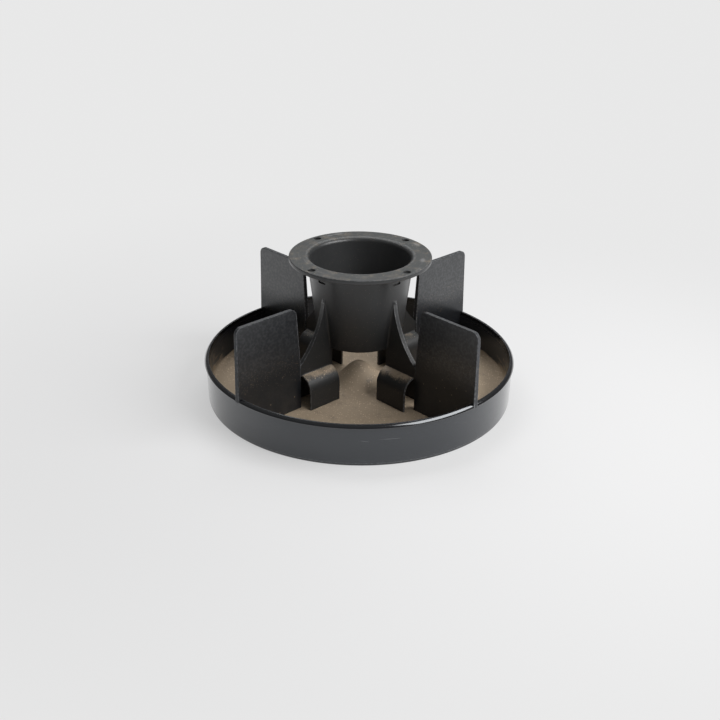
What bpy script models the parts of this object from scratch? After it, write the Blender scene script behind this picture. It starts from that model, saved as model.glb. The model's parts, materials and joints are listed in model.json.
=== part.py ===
"""Feed pan: a round tray, a central spout on four arched feet, and four dividers.

Metres, +Z up. The origin is the centre of the base, on the ground. The dividers and the
spout's gussets stand on the diagonals, so that one open bay faces each side of the pan.
"""

from math import atan2, cos, hypot, pi, radians, sin

import bmesh
import bpy
from mathutils import Matrix, Vector

# Fits
SEAT_GAP = 0.0003
SLIDE_CLEARANCE = 0.0004
SCREW_CLEARANCE = 0.0003

# Tray
PAN_RADIUS = 0.2000
PAN_HEIGHT = 0.0545
RIM_OVERHANG = 0.0020
RIM_BAND = 0.0050
RIM_ROUNDING = 0.0013
WALL_THICKNESS = 0.0036
WALL_TAPER = 0.0010
FLOOR_THICKNESS = 0.0035
FLOOR_FILLET = 0.0080
MOUND_RADIUS = 0.0440
MOUND_HEIGHT = 0.0300
FOOT_RING_HEIGHT = 0.0060
FOOT_RING_WIDTH = 0.0100
BASE_STEP = 0.0006
BASE_STEP_HEIGHT = 0.0024
RIB_THICKNESS = 0.0030
RIB_LIFT = 0.0010
RIB_COUNT = 8

# Spout, with its heights measured from the soles of its feet
SPOUT_HEIGHT = 0.1770
FLANGE_RADIUS = 0.0894
FLANGE_THICKNESS = 0.0058
FLANGE_ROUNDING = 0.0014
SPOUT_WALL = 0.0040
CONE_TOP_RADIUS = 0.0668
MOUTH_RADIUS = 0.0535
MOUTH_HEIGHT = 0.0662
MOUTH_ROUNDING = 0.0010
BELL_ROUNDING = 0.0060
NECK_FILLET = 0.0040
BOLT_CIRCLE_RADIUS = 0.0809
BOLT_HOLE_RADIUS = 0.0045

# Gussets and arched feet
GUSSET_THICKNESS = 0.0060
GUSSET_REACH = 0.1030
GUSSET_TOP_HEIGHT = 0.1342
GUSSET_TIP_HEIGHT = 0.0607
GUSSET_HOLLOW = 0.0066
GUSSET_SETBACK = 0.0018
FOOT_SETBACK = 0.0010
FOOT_REACH = 0.1005
FOOT_HEIGHT = 0.0435
FOOT_RADIUS = 0.0190
FOOT_WALL = 0.0030
FOOT_SCREW_INSET = 0.0085
BOSS_RADIUS = 0.0058
EDGE_ROUNDING = 0.0008

# Dividers, with their heights measured from their lower edges
DIVIDER_HEIGHT = 0.1352
DIVIDER_TOP_THICKNESS = 0.0042
DIVIDER_FOOT_THICKNESS = 0.0086
DIVIDER_CORNER = 0.0090
DIVIDER_LEAN = 0.0040
DIVIDER_SCREW_INSET = 0.0240

# Screws and washers
SCREW_RADIUS = 0.0022
SCREW_HEAD_RADIUS = 0.0045
SCREW_HEAD_HEIGHT = 0.0024
SCREW_CROWN_RADIUS = 0.0032
SCREW_CROWN_HEIGHT = 0.0016
SCREW_GRIP = 0.0120
SCREW_CHAMFER = 0.0008
WASHER_RADIUS = 0.0055
WASHER_THICKNESS = 0.0010

# Materials: colour, roughness and metallic share
MATERIALS = {
    "pan_plastic": ((0.030, 0.032, 0.036), 0.28, 0.0),
    "spout_plastic": ((0.060, 0.061, 0.062), 0.55, 0.0),
    "divider_plastic": ((0.045, 0.046, 0.048), 0.50, 0.0),
    "zinc_steel": ((0.55, 0.56, 0.57), 0.35, 1.0),
}

# Facets
TRAY_STEPS = 76
SPOUT_STEPS = 60
HOLE_STEPS = 12
BOLT_HOLE_STEPS = 24
ARC_STEPS = 4
ROUNDING_STEPS = 2
CORNER_STEPS = 5
MOUND_STEPS = 5
CURVE_STEPS = 10
SHARP_ANGLE = radians(35)
WELD = 0.000002

DIAGONALS = {
    "rear_right": radians(45),
    "rear_left": radians(135),
    "front_left": radians(225),
    "front_right": radians(315),
}

# Heights and radii that follow from the sizes above
FLOOR_TOP = FOOT_RING_HEIGHT + FLOOR_THICKNESS
SOLE = FLOOR_TOP + SEAT_GAP
WALL_TOP_RADIUS = PAN_RADIUS - RIM_OVERHANG
WALL_FOOT_RADIUS = WALL_TOP_RADIUS - WALL_TAPER
BASE_RADIUS = WALL_FOOT_RADIUS - BASE_STEP
RIM_LOW = PAN_HEIGHT - RIM_BAND
FLANGE_TOP = SOLE + SPOUT_HEIGHT
FLANGE_LOW = FLANGE_TOP - FLANGE_THICKNESS
MOUTH = SOLE + MOUTH_HEIGHT
FOOT_CROWN = SOLE + FOOT_HEIGHT
LEG_INNER_RADIUS = MOUTH_RADIUS - SPOUT_WALL + GUSSET_SETBACK
FOOT_INNER_RADIUS = LEG_INNER_RADIUS + FOOT_SETBACK
FOOT_SCREW_RADIUS = FOOT_INNER_RADIUS + FOOT_SCREW_INSET
PILOT_RADIUS = SCREW_RADIUS + SCREW_CLEARANCE
PILOT_DEPTH = SCREW_GRIP + 2 * SCREW_CLEARANCE


def arc(centre, radius, start, end, steps=ARC_STEPS):
    """Points on an arc about centre, from angle start to angle end in degrees."""
    angles = [radians(start + (end - start) * i / steps) for i in range(steps + 1)]
    return [(centre[0] + radius * cos(a), centre[1] + radius * sin(a)) for a in angles]


def hollow_curve(start, end, depth, steps):
    """Points on an arc from start to end that bows to the right of that direction by depth."""
    chord = hypot(end[0] - start[0], end[1] - start[1])
    radius = (chord ** 2 / 4 + depth ** 2) / (2 * depth)
    along = ((end[0] - start[0]) / chord, (end[1] - start[1]) / chord)
    left = (-along[1], along[0])
    middle = ((start[0] + end[0]) / 2, (start[1] + end[1]) / 2)
    centre = (middle[0] + left[0] * (radius - depth), middle[1] + left[1] * (radius - depth))
    first = atan2(start[1] - centre[1], start[0] - centre[0])
    last = atan2(end[1] - centre[1], end[0] - centre[0])
    sweep = (last - first + pi) % (2 * pi) - pi
    angles = [first + sweep * i / steps for i in range(steps + 1)]
    return [(centre[0] + radius * cos(a), centre[1] + radius * sin(a)) for a in angles]


def new_object(name, mesh, location=(0, 0, 0), turn=0.0):
    """Object in the scene, placed at location and turned about Z."""
    thing = bpy.data.objects.new(name, mesh)
    thing.location = location
    thing.rotation_euler = (0, 0, turn)
    bpy.context.scene.collection.objects.link(thing)
    return thing


def mesh_from(bm, name):
    """Mesh from a bmesh with its faces turned outwards."""
    bmesh.ops.recalc_face_normals(bm, faces=bm.faces)
    mesh = bpy.data.meshes.new(name)
    bm.to_mesh(mesh)
    bm.free()
    return mesh


def turned_mesh(name, profile, steps):
    """Closed mesh turned about Z from a loop of (radius, height) points."""
    bm = bmesh.new()
    verts = [bm.verts.new((radius, 0, height)) for radius, height in profile]
    edges = []
    for first, second in zip(verts, verts[1:] + verts[:1]):
        if max(first.co.x, second.co.x) > 0:
            edges.append(bm.edges.new((first, second)))
    bmesh.ops.spin(bm, geom=verts + edges, cent=(0, 0, 0), axis=(0, 0, 1), angle=2 * pi,
                   steps=steps, use_merge=True)
    bmesh.ops.remove_doubles(bm, verts=bm.verts, dist=WELD)
    return mesh_from(bm, name)


def prism_mesh(name, outline, depth, rounded=()):
    """Closed mesh of an (x, z) outline, with its thickness along Y given by depth(z).

    The sides of the outline that start at the points numbered in rounded have their
    edges on both broad faces rounded off.
    """
    bm = bmesh.new()
    near = [bm.verts.new((x, -depth(z) / 2, z)) for x, z in outline]
    far = [bm.verts.new((x, depth(z) / 2, z)) for x, z in outline]
    bm.faces.new(near)
    bm.faces.new(far[::-1])
    count = len(outline)
    for i in range(count):
        following = (i + 1) % count
        bm.faces.new((near[i], far[i], far[following], near[following]))
    edges = [bm.edges.get((side[i], side[(i + 1) % count])) for side in (near, far) for i in rounded]
    if edges:
        bmesh.ops.bevel(bm, geom=edges, offset=EDGE_ROUNDING, segments=1, affect="EDGES")
    return mesh_from(bm, name)


def cylinder_mesh(name, radius, low, high, steps=HOLE_STEPS):
    """Closed cylinder about Z between two heights."""
    bm = bmesh.new()
    placing = Matrix.Translation((0, 0, (low + high) / 2))
    bmesh.ops.create_cone(bm, cap_ends=True, segments=steps, radius1=radius, radius2=radius,
                          depth=high - low, matrix=placing)
    return mesh_from(bm, name)


def box_mesh(name, low, high):
    """Closed box between two corners."""
    bm = bmesh.new()
    size = Vector(high) - Vector(low)
    placing = Matrix.Translation((Vector(low) + Vector(high)) / 2) @ Matrix.Diagonal((*size, 1))
    bmesh.ops.create_cube(bm, size=1, matrix=placing)
    return mesh_from(bm, name)


def combine(target, tools, operation):
    """Join tools to target, or cut them from it, and remove them."""
    for tool in tools:
        step = target.modifiers.new(tool.name, "BOOLEAN")
        step.operation = operation
        step.object = tool
    graph = bpy.context.evaluated_depsgraph_get()
    bm = bmesh.new()
    bm.from_object(target, graph)
    bmesh.ops.remove_doubles(bm, verts=bm.verts, dist=WELD)
    target.modifiers.clear()
    target.data = mesh_from(bm, target.name)
    for tool in tools:
        bpy.data.objects.remove(tool)


def material(name):
    """Material of one colour, from the table of materials."""
    colour, roughness, metallic = MATERIALS[name]
    surface = bpy.data.materials.new(name)
    surface.use_nodes = True
    shader = surface.node_tree.nodes["Principled BSDF"]
    shader.inputs["Base Color"].default_value = (*colour, 1)
    shader.inputs["Roughness"].default_value = roughness
    shader.inputs["Metallic"].default_value = metallic
    return surface


def dress(mesh, surface):
    """Give a mesh its material and smooth shading with crisp edges."""
    mesh.materials.clear()
    mesh.materials.append(surface)
    mesh.shade_smooth()
    mesh.set_sharp_from_angle(angle=SHARP_ANGLE)


def floor_height(radius):
    """Height of the tray's floor, which rises to a mound under the spout's mouth."""
    if radius >= MOUND_RADIUS:
        return FLOOR_TOP
    return FLOOR_TOP + MOUND_HEIGHT * (1 + cos(pi * radius / MOUND_RADIUS)) / 2


def inner_wall_radius(height):
    """Radius of the tray wall's inner face at a height."""
    share = (height - BASE_STEP_HEIGHT) / (RIM_LOW - BASE_STEP_HEIGHT)
    return WALL_FOOT_RADIUS + WALL_TAPER * share - WALL_THICKNESS


def tray_profile():
    """Half section of the tray: underside, foot ring, wall, rim, and back over the floor."""
    mound = [MOUND_RADIUS * i / MOUND_STEPS for i in range(MOUND_STEPS + 1)]
    underside = [(radius, floor_height(radius) - FLOOR_THICKNESS) for radius in mound]
    ring_outer = MOUND_RADIUS + RIB_THICKNESS
    inner_ring = [
        (MOUND_RADIUS, RIB_LIFT),
        (ring_outer, RIB_LIFT),
        (ring_outer, FOOT_RING_HEIGHT),
    ]
    foot_inner = BASE_RADIUS - FOOT_RING_WIDTH
    foot = [
        (foot_inner, FOOT_RING_HEIGHT),
        (foot_inner, 0),
        (BASE_RADIUS - BASE_STEP, 0),
        (BASE_RADIUS, BASE_STEP),
        (BASE_RADIUS, BASE_STEP_HEIGHT - BASE_STEP),
        (WALL_FOOT_RADIUS, BASE_STEP_HEIGHT),
    ]
    rim_inner = inner_wall_radius(RIM_LOW)
    outer_centre = PAN_RADIUS - RIM_ROUNDING
    inner_centre = rim_inner + RIM_ROUNDING
    rim = [(WALL_TOP_RADIUS, RIM_LOW)]
    rim += arc((outer_centre, RIM_LOW + RIM_ROUNDING), RIM_ROUNDING, -90, 0, ROUNDING_STEPS)
    rim += arc((outer_centre, PAN_HEIGHT - RIM_ROUNDING), RIM_ROUNDING, 0, 90, ROUNDING_STEPS)
    rim += arc((inner_centre, PAN_HEIGHT - RIM_ROUNDING), RIM_ROUNDING, 90, 180, ROUNDING_STEPS)
    corner_height = FLOOR_TOP + FLOOR_FILLET
    corner_radius = inner_wall_radius(corner_height) - FLOOR_FILLET
    inside = [(rim_inner, RIM_LOW)]
    inside += arc((corner_radius, corner_height), FLOOR_FILLET, 0, -90)
    inside += [(radius, floor_height(radius)) for radius in reversed(mound)]
    return underside + inner_ring + foot + rim + inside


def divider_thickness(height):
    """Thickness of a divider at a height, which draws in towards its top."""
    share = (height - SOLE) / DIVIDER_HEIGHT
    return DIVIDER_FOOT_THICKNESS + (DIVIDER_TOP_THICKNESS - DIVIDER_FOOT_THICKNESS) * share


def divider_inner_radius():
    """Radius of a divider's inner edge, just outside the gusset's tip."""
    return GUSSET_REACH + SLIDE_CLEARANCE


def divider_screw_radii():
    """Radii of the two screws in a divider's lower edge."""
    inner = divider_inner_radius() + DIVIDER_SCREW_INSET
    outer = inner_wall_radius(SOLE) - DIVIDER_SCREW_INSET
    return inner, outer


def screw_places():
    """Radius and angle of each screw, under the feet and under the dividers."""
    feet = [(FOOT_SCREW_RADIUS, angle) for angle in DIAGONALS.values()]
    dividers = [(radius, angle) for angle in DIAGONALS.values() for radius in divider_screw_radii()]
    return feet, dividers


def make_tray(surface):
    """Tray with its mound, foot ring, underside ribs, rim notches and screw holes."""
    tray = new_object("pan_tray", turned_mesh("pan_tray", tray_profile(), TRAY_STEPS))
    rib_low = (MOUND_RADIUS + RIB_THICKNESS / 2, -RIB_THICKNESS / 2, RIB_LIFT)
    rib_high = (BASE_RADIUS - FOOT_RING_WIDTH / 2, RIB_THICKNESS / 2,
                FOOT_RING_HEIGHT + FLOOR_THICKNESS / 2)
    rib = box_mesh("rib", rib_low, rib_high)
    ribs = [new_object(f"rib_{i}", rib, turn=(i + 0.5) * 2 * pi / RIB_COUNT) for i in range(RIB_COUNT)]
    combine(tray, ribs, "UNION")

    notch_width = divider_thickness(RIM_LOW) + 2 * SLIDE_CLEARANCE
    notch = box_mesh("notch",
                     (inner_wall_radius(RIM_LOW) - RIM_BAND, -notch_width / 2, RIM_LOW),
                     (PAN_RADIUS + RIM_BAND, notch_width / 2, PAN_HEIGHT + RIM_BAND))
    cutters = [new_object(f"notch_{place}", notch, turn=angle) for place, angle in DIAGONALS.items()]
    hole = cylinder_mesh("hole", PILOT_RADIUS, 0, FLOOR_TOP + FLOOR_THICKNESS)
    feet, dividers = screw_places()
    for number, (radius, angle) in enumerate(feet + dividers):
        place = (radius * cos(angle), radius * sin(angle), 0)
        cutters.append(new_object(f"hole_{number}", hole, place, angle))
    combine(tray, cutters, "DIFFERENCE")
    dress(tray.data, surface)
    return tray


def cone_radius(height):
    """Outer radius of the spout's cone at a height."""
    share = (height - MOUTH) / (FLANGE_LOW - MOUTH)
    return MOUTH_RADIUS + (CONE_TOP_RADIUS - MOUTH_RADIUS) * share


def spout_profile():
    """Half section of the spout: flange, cone, mouth, and back up the bore to the bell."""
    edge = FLANGE_RADIUS - FLANGE_ROUNDING
    top_corner = (edge, FLANGE_TOP - FLANGE_ROUNDING)
    low_corner = (edge, FLANGE_LOW + FLANGE_ROUNDING)
    flange = arc(top_corner, FLANGE_ROUNDING, 90, 0, ROUNDING_STEPS)
    flange += arc(low_corner, FLANGE_ROUNDING, 0, -90, ROUNDING_STEPS)
    neck_low = FLANGE_LOW - NECK_FILLET
    neck_centre = (cone_radius(neck_low) + NECK_FILLET, neck_low)
    neck = arc(neck_centre, NECK_FILLET, 90, 180)
    mouth = [
        (MOUTH_RADIUS, MOUTH + MOUTH_ROUNDING),
        (MOUTH_RADIUS - MOUTH_ROUNDING, MOUTH),
        (MOUTH_RADIUS - SPOUT_WALL + MOUTH_ROUNDING, MOUTH),
        (MOUTH_RADIUS - SPOUT_WALL, MOUTH + MOUTH_ROUNDING),
    ]
    bell_low = FLANGE_TOP - BELL_ROUNDING
    bell_centre = (cone_radius(bell_low) - SPOUT_WALL + BELL_ROUNDING, bell_low)
    bell = arc(bell_centre, BELL_ROUNDING, 180, 90)
    return flange + neck + mouth + bell


def gusset_outline():
    """Outline of a gusset: down the curve to its tip, along the foot and up inside the wall."""
    top = SOLE + GUSSET_TOP_HEIGHT
    tip = (GUSSET_REACH, SOLE + GUSSET_TIP_HEIGHT)
    buried = SPOUT_WALL / 2
    low = FOOT_CROWN - FOOT_WALL / 2
    curve = hollow_curve((cone_radius(top), top), tip, GUSSET_HOLLOW, CURVE_STEPS)
    return curve + [
        (GUSSET_REACH, low),
        (LEG_INNER_RADIUS, low),
        (LEG_INNER_RADIUS, MOUTH + buried),
        (cone_radius(top) - buried, top),
    ]


def foot_outline():
    """Cross-section of an arched foot: a half-round arch on two straight sides."""
    centre = (0, FOOT_CROWN - FOOT_RADIUS)
    outer = [(FOOT_RADIUS, SOLE)] + arc(centre, FOOT_RADIUS, 0, 180, CURVE_STEPS)
    inner_radius = FOOT_RADIUS - FOOT_WALL
    inner = [(-inner_radius, SOLE)] + arc(centre, inner_radius, 180, 0, CURVE_STEPS)
    return outer + [(-FOOT_RADIUS, SOLE)] + inner + [(inner_radius, SOLE)]


def make_foot(name, angle):
    """Arched foot along the radius at an angle, with a boss for its screw."""
    length = FOOT_REACH - FOOT_INNER_RADIUS
    mesh = prism_mesh(name, foot_outline(), lambda height: length)
    middle = (FOOT_INNER_RADIUS + FOOT_REACH) / 2
    mesh.transform(Matrix.Translation((middle, 0, 0)) @ Matrix.Rotation(pi / 2, 4, "Z"))
    boss = cylinder_mesh(name, BOSS_RADIUS, SOLE, FOOT_CROWN - FOOT_WALL / 2)
    boss.transform(Matrix.Translation((FOOT_SCREW_RADIUS, 0, 0)))
    return [new_object(name, mesh, turn=angle), new_object(name + "_boss", boss, turn=angle)]


def make_spout(surface):
    """Spout moulding: flange, cone, gussets, arched feet, bolt holes and screw pilots."""
    spout = new_object("feed_spout", turned_mesh("feed_spout", spout_profile(), SPOUT_STEPS))
    members = []
    for place, angle in DIAGONALS.items():
        gusset = prism_mesh("gusset", gusset_outline(), lambda height: GUSSET_THICKNESS,
                            range(CURVE_STEPS + 1))
        members.append(new_object(f"gusset_{place}", gusset, turn=angle))
        members += make_foot(f"foot_{place}", angle)
    combine(spout, members, "UNION")

    bolt_hole = cylinder_mesh("bolt_hole", BOLT_HOLE_RADIUS, FLANGE_LOW - FLANGE_THICKNESS,
                              FLANGE_TOP + FLANGE_THICKNESS, BOLT_HOLE_STEPS)
    pilot = cylinder_mesh("pilot", PILOT_RADIUS, SOLE - PILOT_RADIUS, SOLE + PILOT_DEPTH)
    cutters = []
    for place, angle in DIAGONALS.items():
        direction = Vector((cos(angle), sin(angle), 0))
        cutters.append(new_object(f"bolt_hole_{place}", bolt_hole, direction * BOLT_CIRCLE_RADIUS))
        cutters.append(new_object(f"pilot_{place}", pilot, direction * FOOT_SCREW_RADIUS, angle))
    combine(spout, cutters, "DIFFERENCE")
    dress(spout.data, surface)
    return spout


def divider_outline():
    """Outline of a divider: floor corner, hook over the rim, and rounded top corners."""
    top = SOLE + DIVIDER_HEIGHT
    inner = divider_inner_radius()
    lean_start = SOLE + GUSSET_TIP_HEIGHT
    corner_height = FLOOR_TOP + FLOOR_FILLET
    corner_centre = (inner_wall_radius(corner_height) - FLOOR_FILLET, corner_height)
    hook = RIM_LOW + SEAT_GAP
    outline = [(inner, SOLE)]
    outline += arc(corner_centre, FLOOR_FILLET - SEAT_GAP, -90, 0)
    outline += [
        (inner_wall_radius(hook) - SLIDE_CLEARANCE, hook),
        (PAN_RADIUS, hook),
    ]
    outer_centre = (PAN_RADIUS - DIVIDER_CORNER, top - DIVIDER_CORNER)
    outline += arc(outer_centre, DIVIDER_CORNER, 0, 90, CORNER_STEPS)
    inner_centre = (inner + DIVIDER_LEAN + DIVIDER_CORNER, top - DIVIDER_CORNER)
    outline += arc(inner_centre, DIVIDER_CORNER, 90, 180, CORNER_STEPS)
    return outline + [(inner, lean_start)]


def make_dividers(surface):
    """Four dividers, one in each rim notch, with pilots for their screws."""
    outline = divider_outline()
    rim_point = next(i for i, (radius, height) in enumerate(outline) if radius == PAN_RADIUS)
    blank = prism_mesh("divider", outline, divider_thickness, range(rim_point, len(outline)))
    first = new_object("divider_pattern", blank)
    pilot = cylinder_mesh("pilot", PILOT_RADIUS, SOLE - PILOT_RADIUS, SOLE + PILOT_DEPTH)
    pilots = [new_object(f"pilot_{i}", pilot, (radius, 0, 0))
              for i, radius in enumerate(divider_screw_radii())]
    combine(first, pilots, "DIFFERENCE")
    mesh = first.data
    bpy.data.objects.remove(first)
    dress(mesh, surface)
    return [new_object(f"divider_{place}", mesh, turn=angle) for place, angle in DIAGONALS.items()]


def screw_mesh():
    """Pan-head screw that points up, with its head's seat at height 0."""
    length = FLOOR_THICKNESS + 2 * SEAT_GAP + WASHER_THICKNESS + SCREW_GRIP
    profile = [
        (0, length),
        (SCREW_RADIUS - SCREW_CHAMFER, length),
        (SCREW_RADIUS, length - SCREW_CHAMFER),
        (SCREW_RADIUS, 0),
        (SCREW_HEAD_RADIUS, 0),
        (SCREW_HEAD_RADIUS, SCREW_CROWN_HEIGHT - SCREW_HEAD_HEIGHT),
        (SCREW_CROWN_RADIUS, -SCREW_HEAD_HEIGHT),
        (0, -SCREW_HEAD_HEIGHT),
    ]
    return turned_mesh("screw", profile, HOLE_STEPS)


def washer_mesh():
    """Flat washer with its upper face at height 0."""
    bore = PILOT_RADIUS
    profile = [
        (bore, 0),
        (WASHER_RADIUS, 0),
        (WASHER_RADIUS, -WASHER_THICKNESS),
        (bore, -WASHER_THICKNESS),
    ]
    return turned_mesh("washer", profile, HOLE_STEPS)


def make_fasteners(surface):
    """Screws and washers that hold the spout and the dividers, from below the floor."""
    screw = screw_mesh()
    washer = washer_mesh()
    dress(screw, surface)
    dress(washer, surface)
    washer_top = FOOT_RING_HEIGHT - SEAT_GAP
    head_seat = washer_top - WASHER_THICKNESS - SEAT_GAP
    feet, dividers = screw_places()
    made = []
    for group, places in (("spout", feet), ("divider", dividers)):
        for number, (radius, angle) in enumerate(places, 1):
            x = radius * cos(angle)
            y = radius * sin(angle)
            made.append(new_object(f"{group}_screw_{number}", screw, (x, y, head_seat), angle))
            made.append(new_object(f"{group}_washer_{number}", washer, (x, y, washer_top), angle))
    return made


def main():
    """Clear the scene and build the feed pan."""
    for thing in list(bpy.data.objects):
        bpy.data.objects.remove(thing)
    pieces = [make_tray(material("pan_plastic")), make_spout(material("spout_plastic"))]
    pieces += make_dividers(material("divider_plastic"))
    pieces += make_fasteners(material("zinc_steel"))
    assembly = new_object("feed_pan", None)
    for piece in pieces:
        piece.parent = assembly


main()
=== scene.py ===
"""Looks of the feed pan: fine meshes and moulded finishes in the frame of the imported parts.

Metres, +Z up. The tray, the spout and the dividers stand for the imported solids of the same
names, with rounded edges, fillets and finer curves. The dividers and the spout's gussets
stand on the diagonals, and one open bay faces the camera.
"""

import json
import logging
from dataclasses import dataclass
from enum import Enum
from functools import cached_property, reduce
from math import atan2, cos, degrees, hypot, pi, radians, sin, sqrt, tau
from typing import Callable, Sequence, Union

import bmesh
import bpy
from mathutils import Matrix, Vector

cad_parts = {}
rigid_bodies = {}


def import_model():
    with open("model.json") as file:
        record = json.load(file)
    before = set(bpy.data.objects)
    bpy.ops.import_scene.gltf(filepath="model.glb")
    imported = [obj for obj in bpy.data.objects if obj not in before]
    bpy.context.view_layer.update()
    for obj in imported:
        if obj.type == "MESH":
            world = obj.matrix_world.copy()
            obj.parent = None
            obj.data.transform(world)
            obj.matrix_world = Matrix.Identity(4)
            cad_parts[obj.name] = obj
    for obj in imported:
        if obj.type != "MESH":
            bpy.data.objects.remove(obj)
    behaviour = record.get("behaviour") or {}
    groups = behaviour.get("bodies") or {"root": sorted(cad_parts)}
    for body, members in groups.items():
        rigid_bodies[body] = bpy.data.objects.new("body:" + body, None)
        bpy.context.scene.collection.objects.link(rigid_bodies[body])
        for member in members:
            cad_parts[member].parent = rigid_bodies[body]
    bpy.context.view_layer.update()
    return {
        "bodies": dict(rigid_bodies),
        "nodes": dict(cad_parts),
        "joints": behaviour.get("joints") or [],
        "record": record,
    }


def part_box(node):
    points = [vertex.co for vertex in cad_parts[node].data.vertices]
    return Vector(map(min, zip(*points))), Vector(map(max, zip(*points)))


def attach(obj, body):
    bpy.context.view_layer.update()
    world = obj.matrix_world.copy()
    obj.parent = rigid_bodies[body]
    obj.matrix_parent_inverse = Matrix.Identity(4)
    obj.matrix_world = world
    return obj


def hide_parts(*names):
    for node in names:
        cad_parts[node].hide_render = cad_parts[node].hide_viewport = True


LOG = logging.getLogger("feed_pan")
BODY = "root"

Pair = tuple[float, float]
Point = Pair
Band = Pair
Colour = tuple[float, float, float]
Value = Union[float, "Field"]


class Corner(Enum):
    """The four diagonals on which gussets, feet and dividers stand."""

    REAR_RIGHT = 45
    REAR_LEFT = 135
    FRONT_LEFT = 225
    FRONT_RIGHT = 315

    @property
    def turn(self) -> float:
        """Angle about Z, in radians."""
        return radians(self.value)

    @property
    def label(self) -> str:
        """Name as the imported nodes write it."""
        return self.name.lower()


class Joining(Enum):
    """How a solid takes up other solids."""

    ADD = "UNION"
    CUT = "DIFFERENCE"


@dataclass(frozen=True)
class Fits:
    """Gaps between neighbouring pieces, and the pilot holes that the screws share."""

    seat: float = 0.0003
    slide: float = 0.0004
    pilot_radius: float = 0.0025
    pilot_depth: float = 0.0126


@dataclass(frozen=True)
class Fineness:
    """How finely curves are cut, and the angle above which an edge stays crisp."""

    round_body: int = 240
    hole: int = 40
    small_arc: int = 6
    wide_arc: int = 12
    long_arc: int = 28
    rounding: int = 4
    crisp: float = radians(32)
    weld: float = 0.000002


FITS = Fits()
FINE = Fineness()


def arc(centre: Point, radius: float, start: float, end: float, steps: int = FINE.small_arc) -> list[Point]:
    """Points on an arc.

    Args:
        centre: Centre of the arc.
        radius: Radius of the arc.
        start: First angle, in degrees.
        end: Last angle, in degrees.
        steps: Number of straight steps.

    Returns:
        The points, with both ends.
    """
    angles = [radians(start + (end - start) * i / steps) for i in range(steps + 1)]
    return [(centre[0] + radius * cos(a), centre[1] + radius * sin(a)) for a in angles]


@dataclass(frozen=True)
class Bow:
    """A shallow arc between two points, hollow to the right of their direction."""

    start: Point
    end: Point
    depth: float

    @property
    def radius(self) -> float:
        """Radius of the arc."""
        chord = hypot(self.end[0] - self.start[0], self.end[1] - self.start[1])
        return (chord ** 2 / 4 + self.depth ** 2) / (2 * self.depth)

    @property
    def centre(self) -> Point:
        """Centre of the arc.

        Returns:
            The point.
        """
        dx, dy = self.end[0] - self.start[0], self.end[1] - self.start[1]
        shift = (self.radius - self.depth) / hypot(dx, dy)
        middle = ((self.start[0] + self.end[0]) / 2, (self.start[1] + self.end[1]) / 2)
        return middle[0] - dy * shift, middle[1] + dx * shift

    def points(self) -> list[Point]:
        """Points along the arc.

        Returns:
            The points, with both ends.
        """
        cx, cy = self.centre
        first = atan2(self.start[1] - cy, self.start[0] - cx)
        last = atan2(self.end[1] - cy, self.end[0] - cx)
        sweep = (last - first + pi) % tau - pi
        return arc(self.centre, self.radius, degrees(first), degrees(first + sweep), FINE.long_arc)


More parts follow.
